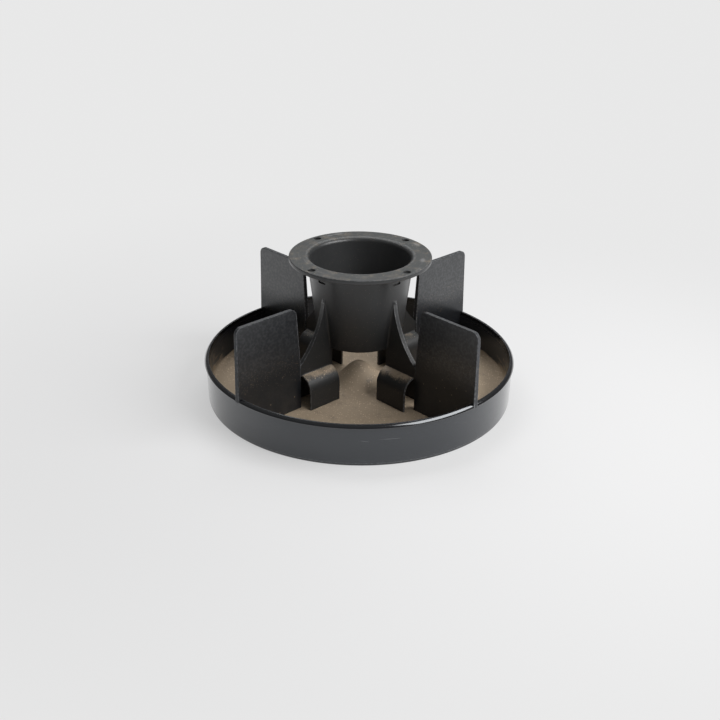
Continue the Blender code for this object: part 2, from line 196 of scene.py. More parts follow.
class Shape:
    """A closed mesh in the making, with the operations that this pan's pieces need."""

    def __init__(self, bm: bmesh.types.BMesh) -> None:
        """Keep the closed mesh with its faces turned outwards."""
        bmesh.ops.recalc_face_normals(bm, faces=bm.faces)
        self.bm = bm

    @classmethod
    def turned(cls, profile: Sequence[Point], steps: int = FINE.round_body) -> "Shape":
        """Solid turned about Z.

        Args:
            profile: Loop of (radius, height) points. Ends at radius 0 close on the axis.
            steps: Number of facets around.

        Returns:
            The solid.
        """
        bm = bmesh.new()
        angles = [tau * i / steps for i in range(steps)]
        rings = []
        for radius, height in profile:
            around = angles if radius > 0 else [0.0]
            rings.append([bm.verts.new((radius * cos(a), radius * sin(a), height)) for a in around])
        for near, far in zip(rings, rings[1:] + rings[:1]):
            if len(near) == len(far) == 1:
                continue
            for i in range(steps):
                corners = [near[i % len(near)], near[(i + 1) % len(near)],
                           far[(i + 1) % len(far)], far[i % len(far)]]
                bm.faces.new(list(dict.fromkeys(corners)))
        return cls(bm)

    @classmethod
    def prism(cls, outline: Sequence[Point], depth: Callable[[float], float],
              rounded: Sequence[int], rounding: float) -> "Shape":
        """Solid from an (x, z) outline, with its thickness along Y.

        Args:
            outline: The outline's points, in order.
            depth: Thickness at a height.
            rounded: Numbers of the outline's sides whose edges on both faces are rounded.
            rounding: Radius of those edges.

        Returns:
            The solid.
        """
        bm = bmesh.new()
        near, far = [[bm.verts.new((x, side * depth(z) / 2, z)) for x, z in outline] for side in (-1, 1)]
        bm.faces.new(near)
        bm.faces.new(far[::-1])
        count = len(outline)
        for i in range(count):
            after = (i + 1) % count
            bm.faces.new((near[i], far[i], far[after], near[after]))
        edges = [bm.edges.get((face[i], face[(i + 1) % count])) for face in (near, far) for i in rounded]
        bmesh.ops.bevel(bm, geom=edges, offset=rounding, segments=FINE.rounding, profile=0.5, affect="EDGES")
        return cls(bm)

    @classmethod
    def loft(cls, sections: Sequence[Sequence[Vector]]) -> "Shape":
        """Solid through sections with equal numbers of points, closed by flat ends.

        Args:
            sections: The sections, each a loop of points.

        Returns:
            The solid.
        """
        bm = bmesh.new()
        rows = [[bm.verts.new(point) for point in section] for section in sections]
        count = len(rows[0])
        for near, far in zip(rows, rows[1:]):
            for i in range(count):
                after = (i + 1) % count
                bm.faces.new((near[i], near[after], far[after], far[i]))
        bm.faces.new(rows[0])
        bm.faces.new(rows[-1][::-1])
        return cls(bm)

    @classmethod
    def cylinder(cls, radius: float, low: float, high: float, out: float = 0.0) -> "Shape":
        """Upright cylinder.

        Args:
            radius: Its radius.
            low: Height of its foot.
            high: Height of its top.
            out: Distance of its axis from Z, along X.

        Returns:
            The solid.
        """
        made = cls.turned([(0, low), (radius, low), (radius, high), (0, high)], FINE.hole)
        return made.moved((out, 0, 0))

    @classmethod
    def block(cls, low: Sequence[float], high: Sequence[float], rounding: float = 0.0) -> "Shape":
        """Box between two corners.

        Args:
            low: Lowest corner.
            high: Highest corner.
            rounding: Radius of its edges, or 0 for crisp ones.

        Returns:
            The solid.
        """
        bm = bmesh.new()
        size = Vector(high) - Vector(low)
        middle = (Vector(low) + Vector(high)) / 2
        bmesh.ops.create_cube(bm, size=1, matrix=Matrix.Translation(middle) @ Matrix.Diagonal((*size, 1)))
        if rounding:
            bmesh.ops.bevel(bm, geom=list(bm.edges), offset=rounding, segments=2, affect="EDGES")
        return cls(bm)

    def moved(self, shift: Sequence[float]) -> "Shape":
        """Move the whole shape by a shift, and give it back."""
        bmesh.ops.translate(self.bm, vec=shift, verts=self.bm.verts)
        return self

    def thing(self, name: str, turn: float = 0.0) -> bpy.types.Object:
        """Object in the scene from this shape.

        Args:
            name: The object's name.
            turn: Its angle about Z, in radians.

        Returns:
            The object.
        """
        mesh = bpy.data.meshes.new(name)
        self.bm.to_mesh(mesh)
        self.bm.free()
        return put(name, mesh, turn=turn)


def put(name: str, data: bpy.types.ID, place: Sequence[float] = (0, 0, 0),
        turn: float = 0.0) -> bpy.types.Object:
    """Put an object in the scene.

    Args:
        name: The object's name.
        data: Its mesh, lamp or camera.
        place: Where it stands.
        turn: Its angle about Z, in radians.

    Returns:
        The object.
    """
    made = bpy.data.objects.new(name, data)
    made.location = place
    made.rotation_euler = (0, 0, turn)
    bpy.context.scene.collection.objects.link(made)
    return made


def join(target: bpy.types.Object, tools: Sequence[bpy.types.Object], joining: Joining) -> None:
    """Add tools to a target, or cut them from it, and remove them.

    Args:
        target: The solid that is changed.
        tools: The solids that are used up.
        joining: Whether they are added or cut.
    """
    group = bpy.data.collections.new("tools")
    bpy.context.scene.collection.children.link(group)
    for tool in tools:
        group.objects.link(tool)
    step = target.modifiers.new("join", "BOOLEAN")
    step.operation = joining.value
    step.operand_type = "COLLECTION"
    step.collection = group
    step.solver = "EXACT"
    bm = bmesh.new()
    bm.from_object(target, bpy.context.evaluated_depsgraph_get())
    bmesh.ops.remove_doubles(bm, verts=bm.verts, dist=FINE.weld)
    target.modifiers.clear()
    bm.to_mesh(target.data)
    bm.free()
    for tool in tools:
        bpy.data.meshes.remove(tool.data)
    bpy.data.collections.remove(group)


def dress(thing: bpy.types.Object, surface: bpy.types.Material, nodes: Sequence[str]) -> None:
    """Give a piece its finish and smooth shading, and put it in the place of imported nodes.

    Args:
        thing: The piece, already in place.
        surface: Its material.
        nodes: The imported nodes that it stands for.
    """
    mesh = thing.data
    mesh.materials.clear()
    mesh.materials.append(surface)
    mesh.shade_smooth()
    mesh.set_sharp_from_angle(angle=FINE.crisp)
    weighted = thing.modifiers.new("weighted_normals", "WEIGHTED_NORMAL")
    weighted.keep_sharp = True
    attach(thing, BODY)
    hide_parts(*nodes)
    LOG.info("%s: %d faces, for %s", thing.name, len(mesh.polygons), ", ".join(nodes))


def feed(target: bpy.types.NodeSocket, value: object) -> None:
    """Give a shader node's input a constant, or join a field or another node's output to it.

    Args:
        target: The input.
        value: The constant, the field or the output.
    """
    if isinstance(value, Field):
        value = value.socket
    if isinstance(value, bpy.types.NodeSocket):
        target.id_data.links.new(value, target)
    elif target.type == "RGBA" and len(value) == 3:
        target.default_value = (*value, 1)
    else:
        target.default_value = value


def add_node(tree: bpy.types.NodeTree, kind: str, inputs: dict[str | int, object] | None = None,
             **settings: object) -> bpy.types.NodeOutputs:
    """Add a shader node.

    Args:
        tree: The tree that takes it.
        kind: The node's type, without the leading ShaderNode.
        inputs: A constant, a field or an output for each input.
        settings: The node's own settings.

    Returns:
        The node's outputs.
    """
    made = tree.nodes.new("ShaderNode" + kind)
    for name, value in settings.items():
        setattr(made, name, value)
    for name, value in (inputs or {}).items():
        feed(made.inputs[name], value)
    return made.outputs


class Field:
    """A value that varies over a surface. Arithmetic on it adds nodes to its tree."""

    def __init__(self, socket: bpy.types.NodeSocket) -> None:
        """Keep the output that gives the value."""
        self.socket = socket

    def then(self, kind: str, inputs: dict[str | int, object], **settings: object) -> bpy.types.NodeOutputs:
        """Outputs of a node that is added to the field's tree."""
        return add_node(self.socket.id_data, kind, inputs, **settings)

    def math(self, operation: str, *values: Value) -> "Field":
        """Result of a named operation on this value and others."""
        return Field(self.then("Math", dict(enumerate((self, *values))), operation=operation)[0])

    def __add__(self, other: Value) -> "Field":
        """Sum."""
        return self.math("ADD", other)

    def __sub__(self, other: Value) -> "Field":
        """Difference."""
        return self.math("SUBTRACT", other)

    def __rsub__(self, other: float) -> "Field":
        """Difference from a number."""
        return self.math("MULTIPLY_ADD", -1.0, other)

    def __mul__(self, other: Value) -> "Field":
        """Product."""
        return self.math("MULTIPLY", other)

    def __truediv__(self, other: Value) -> "Field":
        """Quotient."""
        return self.math("DIVIDE", other)

    def __abs__(self) -> "Field":
        """Size without the sign."""
        return self.math("ABSOLUTE")

    def length(self, other: "Field") -> "Field":
        """Length of two distances at right angles."""
        return (self * self + other * other).math("SQRT")

    def clamped(self) -> "Field":
        """Value kept between 0 and 1."""
        return Field(self.then("Clamp", {"Value": self})[0])

    def step(self, low: Value, high: Value) -> "Field":
        """Smooth step from 0 at low to 1 at high, which may be the smaller of the two."""
        ends = {"Value": self, "From Min": low, "From Max": high}
        return Field(self.then("MapRange", ends, interpolation_type="SMOOTHSTEP")["Result"])

    def scaled(self, low: float, high: float) -> "Field":
        """Value from low at 0 to high at 1."""
        return self.math("MULTIPLY_ADD", high - low, low)

    def mix(self, under: Union[Colour, "Field"], over: Colour) -> "Field":
        """Blend of two colours, with this value as the upper one's share."""
        return Field(self.then("Mix", {0: self, 6: under, 7: over}, data_type="RGBA")[2])

    def parts(self) -> list["Field"]:
        """The three parts of a vector."""
        return [Field(output) for output in self.then("SeparateXYZ", {0: self})]

    def mapped(self, shift: Sequence[float], stretch: Sequence[float] = (1, 1, 1)) -> "Field":
        """Coordinates that are stretched and then shifted."""
        return Field(self.then("Mapping", {"Vector": self, "Location": shift, "Scale": stretch})[0])

    def noise(self, scale: Value, detail: float) -> "Field":
        """Cloudy noise about 0.5, from a number of lumps in a metre and octaves of detail."""
        return Field(self.then("TexNoise", {"Vector": self, "Scale": scale, "Detail": detail})[0])

    def cells(self, scale: Value, channel: int) -> tuple["Field", "Field"]:
        """Points scattered over the surface.

        Args:
            scale: Number of points in a metre.
            channel: Which of each point's random numbers is given.

        Returns:
            Distance to the nearest point, and its random number.
        """
        made = self.then("TexVoronoi", {"Vector": self, "Scale": scale})
        luck = self.then("SeparateColor", {0: made["Color"]})
        return Field(made["Distance"]), Field(luck[channel])


def most(first: Field, *others: Value) -> Field:
    """Largest of several values."""
    return reduce(lambda one, other: one.math("MAXIMUM", other), others, first)


def layered(colour: Union[Colour, Field], *layers: tuple[Field, Colour]) -> Field:
    """Lay colours over a first one, in order, each with its own share."""
    return reduce(lambda under, layer: layer[0].mix(under, layer[1]), layers, colour)


class Effect:
    """A shader node group that several finishes share, made when it is first used."""

    name: str = ""
    inputs: dict[str, float] = {}
    outputs: tuple[str, ...] = ()

    @cached_property
    def tree(self) -> bpy.types.NodeTree:
        """Build the node group.

        Returns:
            The group, with coordinates and the named numbers as its inputs.
        """
        tree = bpy.data.node_groups.new(self.name, "ShaderNodeTree")
        tree.interface.new_socket("Vector", in_out="INPUT", socket_type="NodeSocketVector")
        for title, default in self.inputs.items():
            made = tree.interface.new_socket(title, in_out="INPUT", socket_type="NodeSocketFloat")
            made.default_value = default
        for title in self.outputs:
            tree.interface.new_socket(title, in_out="OUTPUT", socket_type="NodeSocketFloat")
        given = tree.nodes.new("NodeGroupInput").outputs
        result = tree.nodes.new("NodeGroupOutput").inputs
        values = self.work(*[Field(given[title]) for title in ("Vector", *self.inputs)])
        for title, value in zip(self.outputs, values):
            feed(result[title], value)
        return tree

    def work(self, place: Field, *given: Field) -> tuple[Field, ...]:
        """The group's results, from coordinates and its own inputs."""
        raise NotImplementedError

    def on(self, place: Field, *values: Value) -> list[Field]:
        """Use the group in a material.

        Args:
            place: The coordinates.
            values: A constant or a field for each other input, in their order.

        Returns:
            The group's outputs.
        """
        made = place.socket.id_data.nodes.new("ShaderNodeGroup")
        made.node_tree = self.tree
        for title, value in zip(("Vector", *self.inputs), (place, *values)):
            feed(made.inputs[title], value)
        return [Field(output) for output in made.outputs]


class Grain(Effect):
    """Fine texture of a moulded surface, with slow waves from the mould's flow."""

    name = "moulded_grain"
    inputs = {"Coarse": 260.0, "Fine": 1500.0}
    outputs = ("Height", "Cloud")
    coarse_detail: float = 2.0
    fine_detail: float = 3.0
    fine_share: float = 0.6
    waves: Pair = (22.0, 4.0)

    def work(self, place: Field, coarse: Field, fine: Field) -> tuple[Field, ...]:
        """Height of the grain, and the waves."""
        small = place.noise(fine, self.fine_detail) * self.fine_share
        return small + place.noise(coarse, self.coarse_detail), place.noise(*self.waves)


class Dust(Effect):
    """Feed dust that settles in patches, with crumbs in it."""

    name = "feed_dust"
    inputs = {"Amount": 0.5}
    outputs = ("Mask", "Crumbs")
    patches: Pair = (75.0, 6.0)
    grit: Pair = (640.0, 3.0)
    grit_share: float = 0.55
    bare_level: float = 1.04
    amount_share: float = 0.80
    softness: float = 0.44
    crumb_scale: float = 380.0
    crumb_size: Band = (0.36, 0.20)
    crumb_luck: Band = (1.10, 1.15)

    def work(self, place: Field, amount: Field) -> tuple[Field, ...]:
        """Make the group's nodes.

        Args:
            place: The coordinates.
            amount: How much dust lies there.

        Returns:
            The film's share and the crumbs' share.
        """
        level = place.noise(*self.grit) * self.grit_share + place.noise(*self.patches)
        edge = self.bare_level - amount * self.amount_share
        distance, luck = place.cells(self.crumb_scale, 0)
        few, many = self.crumb_luck
        crumbs = distance.step(*self.crumb_size) * luck.step(few - amount, many)
        return level.step(edge, edge + self.softness) * amount, crumbs * amount


@dataclass(frozen=True)
class Streaks:
    """Noise that is drawn out around the wall and cut off at a level."""

    scale: float
    stretch: float
    cut: Band
    shift: tuple[float, float, float] = (0.0, 0.0, 0.0)
    detail: float = 2.0

    def mask(self, place: Field) -> Field:
        """Share of the streaks."""
        drawn = place.mapped(self.shift, (1.0, 1.0, self.stretch))
        return drawn.noise(self.scale, self.detail).step(*self.cut)


class Scuffs(Effect):
    """Thin scuffed lines around the wall, in loose groups."""

    name = "scuff_lines"
    inputs = {"Amount": 0.5}
    outputs = ("Mask",)
    thick = Streaks(42.0, 38.0, (0.66, 0.76))
    thin = Streaks(85.0, 30.0, (0.68, 0.78), (0.3, 0.1, 0.7))
    groups = Streaks(13.0, 4.0, (0.50, 0.66))

    def work(self, place: Field, amount: Field) -> tuple[Field, ...]:
        """Share of the lines."""
        lines = most(self.thick.mask(place), self.thin.mask(place))
        return (lines * self.groups.mask(place) * amount,)


class Wear(Effect):
    """Rubbing along an edge, broken up by noise, and also the painted highlight line above the tray's ledge.
    """

    name = "edge_wear"
    inputs = {"Distance": 0.0, "Width": 0.001}
    outputs = ("Mask",)
    breaks: Pair = (330.0, 5.0)
    cut: Band = (0.38, 0.62)
    least: float = 0.20

    def work(self, place: Field, distance: Field, width: Field) -> tuple[Field, ...]:
        """Share of rubbing, from none at the width to all at the edge."""
        broken = place.noise(*self.breaks).step(*self.cut).scaled(self.least, 1.0)
        return (abs(distance).step(width, 0.0) * broken,)


class Specks(Effect):
    """Pale specks of dust that lie apart from each other."""

    name = "dust_specks"
    inputs = {"Scale": 420.0, "Share": 0.2}
    outputs = ("Mask",)
    size: Band = (0.30, 0.12)

    def work(self, place: Field, scale: Field, share: Field) -> tuple[Field, ...]:
        """Share of the specks' colour."""
        distance, luck = place.cells(scale, 1)
        return (distance.step(*self.size) * luck.math("LESS_THAN", share),)


GRAIN = Grain()
DUST = Dust()
SCUFFS = Scuffs()
WEAR = Wear()
SPECKS = Specks()


class Surface:
    """A material in the making, with its coordinates at hand."""

    def __init__(self, name: str) -> None:
        """Start a material.

        Args:
            name: The material's name.
        """
        self.material = bpy.data.materials.new(name)
        self.material.use_nodes = True
        tree = self.material.node_tree
        self.shader = tree.nodes["Principled BSDF"]
        self.place = Field(add_node(tree, "TexCoord")["Object"])
        self.x, self.y, self.z = self.place.parts()
        self.up = Field(add_node(tree, "NewGeometry")["Normal"]).parts()[2]

    @cached_property
    def radius(self) -> Field:
        """Distance from the Z axis."""
        return self.x.length(self.y)

    def swirl(self, turns: float, depth: float, detail: float) -> Field:
        """Noise drawn out around the Z axis, from its scales along the circle and across it."""
        parts = (self.x / self.radius * turns, self.y / self.radius * turns, (self.radius + self.z) * depth)
        return Field(self.place.then("CombineXYZ", dict(enumerate(parts)))[0]).noise(1.0, detail)

    def diagonal(self) -> tuple[Field, Field]:
        """Distance along the nearest diagonal, and distance to the side of it."""
        wide, deep = abs(self.x), abs(self.y)
        return (wide + deep) * sqrt(0.5), abs(wide - deep) * sqrt(0.5)

    def finish(self, height: Field, relief: Pair, inputs: dict[str, object]) -> bpy.types.Material:
        """Join the results to the shader.

        Args:
            height: Height of the surface, in units of the relief's depth.
            relief: That depth in metres, and the strength of the bump.
            inputs: A constant or a field for each of the shader's other inputs.

        Returns:
            The material.
        """
        depth, strength = relief
        bump = height.then("Bump", {"Height": height, "Distance": depth, "Strength": strength})
        for name, value in {**inputs, "Normal": bump[0]}.items():
            feed(self.shader.inputs[name], value)
        return self.material


DUST_COLOUR: Colour = (0.370, 0.290, 0.205)
CRUMB_COLOUR: Colour = (0.680, 0.530, 0.370)


@dataclass(frozen=True)
class Scratch:
    """A thin scratch around the wall, between two places of azimuth in degrees and height."""

    start: Point
    end: Point
    width: float = 0.0006
    fade_in: Band = (0.0, 0.5)
    fade_out: Band = (1.0, 0.8)

    def mask(self, surface: Surface) -> Field:
        """Share of rubbing, which is faint at both ends.

        Args:
            surface: The material in the making.

        Returns:
            The share.
        """
        turn = surface.y.math("ARCTAN2", surface.x)
        share = (turn - radians(self.start[0])) / radians(self.end[0] - self.start[0])
        off = surface.z - share * (self.end[1] - self.start[1]) - self.start[1]
        return abs(off).step(self.width, 0.0) * share.step(*self.fade_in) * share.step(*self.fade_out)


@dataclass(frozen=True)
class PanPlastic:
    """Black glossy plastic, scratched outside and dusty inside, with painted shade that makes the rim
    near-black and the base below its ledge darker, and a painted highlight above the ledge.

    A band gives the places where a mask is 0 and 1: the level and the film by their value, the
    rear by its Y, and the others as distances from the wall, the floor, the rim or the ledge.
    """

    colour: Colour = (0.015, 0.017, 0.021)
    # painted shade colour: the near-black rim and the base below the ledge
    painted_shade: Colour = (0.005, 0.005, 0.006)
    # light grey of real wear, and also of the painted highlight above the ledge
    wear_and_highlight: Colour = (0.150, 0.154, 0.162)
    tint: Colour = (0.86, 0.93, 1.00)
    specular: float = 0.44
    coat_roughness: float = 0.16
    smooth: Pair = (0.16, 0.23)
    rim_gloss: float = -0.08
    inner_roughness: float = 0.32
    dull: float = 0.80
    wear_and_highlight_roughness: float = 0.22
    grain_scales: Pair = (90.0, 900.0)
    relief: Pair = (0.00012, 0.35)
    scuff_depth: float = 0.8
    crumb_height: float = 3.0
    cloud_share: float = 0.05
    wear_width: float = 0.0011
    lip_share: float = 0.85
    base_highlight_share: float = 0.50
    scuff_share: float = 0.40
    scratch_share: float = 0.60
    inside: Band = (0.0008, -0.0004)
    above: Band = (-0.0020, -0.0008)
    rim_start: Band = (-0.0002, 0.0003)
    below_ledge: Band = (0.0002, -0.0004)
    ledge_middle: float = 0.0007
    level: Band = (0.05, 0.60)
    rear: Band = (0.090, 0.010)
    rear_shares: Pair = (0.12, 0.95)
    drift: Band = (0.018, 0.005)
    corner: Band = (-0.110, -0.004)
    corner_shares: Pair = (0.92, 1.0)
    film_noise: tuple[float, float, float] = (9.0, 260.0, 5.0)
    film: Band = (0.34, 0.64)
    film_shares: Pair = (0.45, 1.0)
    scratches: tuple[Scratch, ...] = (
        Scratch((-88.8, 0.0339), (-85.0, 0.0326)),
        Scratch((-82.9, 0.0353), (-74.2, 0.0349)),
    )

    def dusting(self, surface: Surface, tray: "Tray") -> Field:
        """Amount of dust on the floor and, as streaks, on the wall.

        Args:
            surface: The material in the making.
            tray: The tray, for the places of its wall and floor.

        Returns:
            The amount.
        """
        flat = surface.up.step(*self.level)
        ahead = surface.y.step(*self.rear).scaled(*self.rear_shares)
        drift = (surface.z - tray.floor_top).step(*self.drift)
        corner = (surface.radius - tray.rim_inner).step(*self.corner).scaled(*self.corner_shares)
        fallen = surface.z.step(tray.rim_low, tray.floor_top + tray.floor_fillet).scaled(*self.film_shares)
        film = surface.swirl(*self.film_noise).step(*self.film)
        return most(most(flat, drift * ahead) * corner, film * (1 - flat) * fallen * ahead)

    def material(self, tray: "Tray") -> bpy.types.Material:
        """Make the tray's material.

        Args:
            tray: The tray, for the places of its wall and floor.

        Returns:
            The material.
        """
        surface = Surface("pan_plastic")
        place, z = surface.place, surface.z
        grain, cloud = GRAIN.on(place, *self.grain_scales)
        from_wall = surface.radius - tray.rim_inner
        hollow = from_wall.step(*self.inside) * (z - tray.floor_top).step(*self.above)
        rim = (z - tray.rim_low).step(*self.rim_start)
        clean = 1 - rim
        outside = (1 - hollow) * clean
        dust, crumbs = DUST.on(place, hollow * self.dusting(surface, tray) * clean)
        scuffs = SCUFFS.on(place, outside)[0]

        third = tray.lip_rounding / 3
        lip = (from_wall - third).length(z - (tray.height - third))
        from_ledge = z - tray.base_step_height
        worn_lip = WEAR.on(place, lip, self.wear_width)[0]
        # painted highlight: a light line just above the base ledge, where its bevel catches the light
        base_highlight = WEAR.on(place, from_ledge - self.ledge_middle, self.wear_width)[0]
        scratches = most(*[scratch.mask(surface) for scratch in self.scratches])
        # wear on the lip, scuffs and scratches, with the painted highlight above the ledge among them
        wear_and_highlight = most(worn_lip * self.lip_share, base_highlight * outside * self.base_highlight_share,
                      scuffs * self.scuff_share, scratches * outside * self.scratch_share)

        # painted shade: the rim near-black, and the base below the ledge darker
        shaded = most(rim, from_ledge.step(*self.below_ledge) * outside)
        colour = layered(self.colour, (cloud * self.cloud_share, self.wear_and_highlight), (shaded, self.painted_shade),
                         (wear_and_highlight, self.wear_and_highlight), (dust, DUST_COLOUR), (crumbs, CRUMB_COLOUR))
        rough = cloud.scaled(*self.smooth) + rim * self.rim_gloss
        rough = most(rough, dust * self.dull, hollow * clean * self.inner_roughness)
        height = grain * clean - scuffs * self.scuff_depth + crumbs * self.crumb_height
        return surface.finish(height, self.relief, {
            "Base Color": colour,
            "Roughness": (rough + wear_and_highlight * self.wear_and_highlight_roughness).clamped(),
            "Specular IOR Level": self.specular,
            "Specular Tint": self.tint,
            "Coat Weight": 1 - hollow,
            "Coat Roughness": self.coat_roughness,
        })


@dataclass(frozen=True)
class Patch:
    """A worn patch on the flange: its middle in degrees and metres, and half its extent."""

    azimuth: float
    reach: float
    spread: float
    depth: float
    ragged_edge: Band = (1.45, 0.75)

    def mask(self, surface: Surface, ragged: Field) -> Field:
        """Share of rubbing.

        Args:
            surface: The material in the making.
            ragged: Noise that breaks up the outline.

        Returns:
            The share.
        """
        middle = radians(self.azimuth)
        ahead = surface.x * cos(middle) + surface.y * sin(middle)
        beside = surface.y * cos(middle) - surface.x * sin(middle)
        wide = beside.math("ARCTAN2", ahead) / radians(self.spread)
        deep = (surface.radius - self.reach) / self.depth
        return (wide.length(deep) + ragged).step(*self.ragged_edge)


@dataclass(frozen=True)
class SpoutPlastic:
    """Dark satin plastic, scuffed along its edges and dusted on what faces up.

    A band gives the places where a mask is 0 and 1: the level, the upmost and the arcs by their
    value, the front by its Y, and the others as distances from the face or edge that they are
    for. A rub gives the width of the worn line along an edge, and its share of the worn light
    grey. Painted shade darkens it towards the mouth, and faces that look up carry haze and
    painted top light.
    """

    colour: Colour = (0.028, 0.029, 0.030)
    # painted shade colour, towards the mouth
    painted_shade: Colour = (0.014, 0.014, 0.014)
    # haze and painted top light: lighter colour on faces that look up
    haze_and_top_light_colour: Colour = (0.050, 0.054, 0.054)
    wear_and_highlight: Colour = (0.170, 0.173, 0.178)
    specular: float = 0.40
    smooth: Pair = (0.30, 0.43)
    bell_roughness: float = 0.52
    low_roughness: float = 0.46
    dull: float = 0.80
    coat: float = 0.6
    coat_roughness: float = 0.30
    grain_scales: Pair = (420.0, 1900.0)
    relief: Pair = (0.00015, 0.45)
    crumb_height: float = 2.5
    cloud_share: float = 0.04
    level: Band = (0.35, 0.90)
    foot_tops: Band = (0.004, 0.001)
    front: Band = (0.020, -0.020)
    front_shares: Pair = (0.25, 1.0)
    dust_amounts: Pair = (0.38, 0.78)
    fed: Band = (0.060, 0.0)
    flange_face: Band = (-0.0020, -0.0010)
    upmost: Band = (0.70, 0.98)
    haze_and_top_light_shares: Pair = (0.70, 1.10)
    arc_noise: tuple[float, float, float] = (2.6, 300.0, 4.0)
    arcs: Band = (0.52, 0.72)
    arc_share: float = 0.30
    specks: Pair = (620.0, 0.12)
    speck_share: float = 0.16
    upper_rub: Pair = (0.0013, 0.60)
    lower_rub: Pair = (0.0010, 0.20)
    bell_rub: Pair = (0.0022, 0.50)
    bow_rub: Pair = (0.0008, 0.80)
    foot_rub: Pair = (0.0014, 0.60)
    post_rub: Pair = (0.0010, 0.50)
    bell_inset: float = 0.0010
    cone_gap: Band = (-0.0004, 0.0010)
    foot_edge: Band = (0.001, 0.0)
    ragged_noise: tuple[float, float, float] = (5.0, 400.0, 5.0)
    patch_share: float = 0.75
    patches: tuple[Patch, ...] = (
        Patch(112.0, 0.0825, 7.0, 0.0035),
        Patch(121.0, 0.0805, 5.0, 0.0028),
        Patch(30.0, 0.0820, 6.0, 0.0042),
        Patch(348.0, 0.0790, 7.0, 0.0050),
        Patch(280.0, 0.0970, 4.0, 0.0016),
        Patch(262.0, 0.0970, 6.0, 0.0016),
    )

    def material(self, spout: "Spout") -> bpy.types.Material:
        """Make the spout's material.

        Args:
            spout: The spout, for the places of its edges.

        Returns:
            The material.
        """
        surface = Surface("spout_plastic")
        place, z = surface.place, surface.z
        grain, cloud = GRAIN.on(place, *self.grain_scales)
        flat = surface.up.step(*self.level)
        low = (z - spout.foot_crown).step(*self.foot_tops)
        ahead = surface.y.step(*self.front).scaled(*self.front_shares)
        dust, crumbs = DUST.on(place, flat * (low * ahead).scaled(*self.dust_amounts))
        specks = SPECKS.on(place, *self.specks)[0]
        on_top = (z - spout.flange_top).step(*self.flange_face)
        # haze and painted top light: faces that look up on the flange and the feet's crowns are painted
        # lighter, in patches
        haze_and_top_light = surface.up.step(*self.upmost) * most(on_top, low) * cloud.scaled(*self.haze_and_top_light_shares)
        arcs = surface.swirl(*self.arc_noise).step(*self.arcs) * flat * on_top
        ragged = surface.swirl(*self.ragged_noise)
        patches = most(*[patch.mask(surface, ragged) for patch in self.patches]) * on_top
        bell = (z - spout.flange_top).step(-spout.bell_rounding, 0.0)
        # painted shade: darker towards the mouth, where it is also rougher and has no coat
        fed = (z - spout.mouth).step(*self.fed)

        colour = layered(self.colour, (fed, self.painted_shade), (cloud * self.cloud_share, self.wear_and_highlight),
                         (haze_and_top_light, self.haze_and_top_light_colour), (arcs * self.arc_share, self.wear_and_highlight),
                         (patches * self.patch_share, self.wear_and_highlight),
                         (self.edges(surface, spout, on_top), self.wear_and_highlight), (dust, DUST_COLOUR),
                         (crumbs, CRUMB_COLOUR), (specks * self.speck_share, CRUMB_COLOUR))
        rough = most(cloud.scaled(*self.smooth), dust * self.dull, bell * self.bell_roughness,
                     fed * self.low_roughness)
        return surface.finish(grain + crumbs * self.crumb_height, self.relief, {
            "Base Color": colour,
            "Roughness": rough,
            "Specular IOR Level": self.specular,
            "Coat Weight": (1 - most(fed, bell)) * self.coat,
            "Coat Roughness": self.coat_roughness,
        })

    def edges(self, surface: Surface, spout: "Spout", on_top: Field) -> Field:
        """Rubbing along the flange, the bell, the gussets' outer edges and the feet's ends.

        Args:
            surface: The material in the making.
            spout: The spout, for the places of its edges.
            on_top: Mask of the flange's upper face.

        Returns:
            The share of rubbing.
        """
        z, radius = surface.z, surface.radius
        along, aside = surface.diagonal()
        soft = spout.flange_rounding / 2
        out = radius - (spout.flange_radius - soft)
        upper = out.length(z - (spout.flange_top - soft))
        lower = out.length(z - (spout.flange_low + soft))
        bell = radius - (spout.bell_radius - self.bell_inset)
        curve = spout.gusset_bow
        line = aside - (spout.gusset_thickness - spout.rounding) / 2
        bow = ((along - curve.centre[0]).length(z - curve.centre[1]) - curve.radius).length(line)
        slope = (spout.cone_top_radius - spout.mouth_radius) / (spout.flange_low - spout.mouth)
        beyond = (radius - z * slope - spout.cone(0.0)).step(*self.cone_gap)
        post = (along - spout.gusset_reach).length(line)
        on_foot = (z - spout.foot_crown).step(*self.foot_edge)
        lines = ((upper, self.upper_rub, 1.0), (lower, self.lower_rub, 1.0), (bell, self.bell_rub, on_top),
                 (bow, self.bow_rub, beyond), (along - spout.foot_reach, self.foot_rub, on_foot),
                 (post, self.post_rub, 1.0))
        return most(*[WEAR.on(surface.place, distance, width)[0] * where * share
                      for distance, (width, share), where in lines])


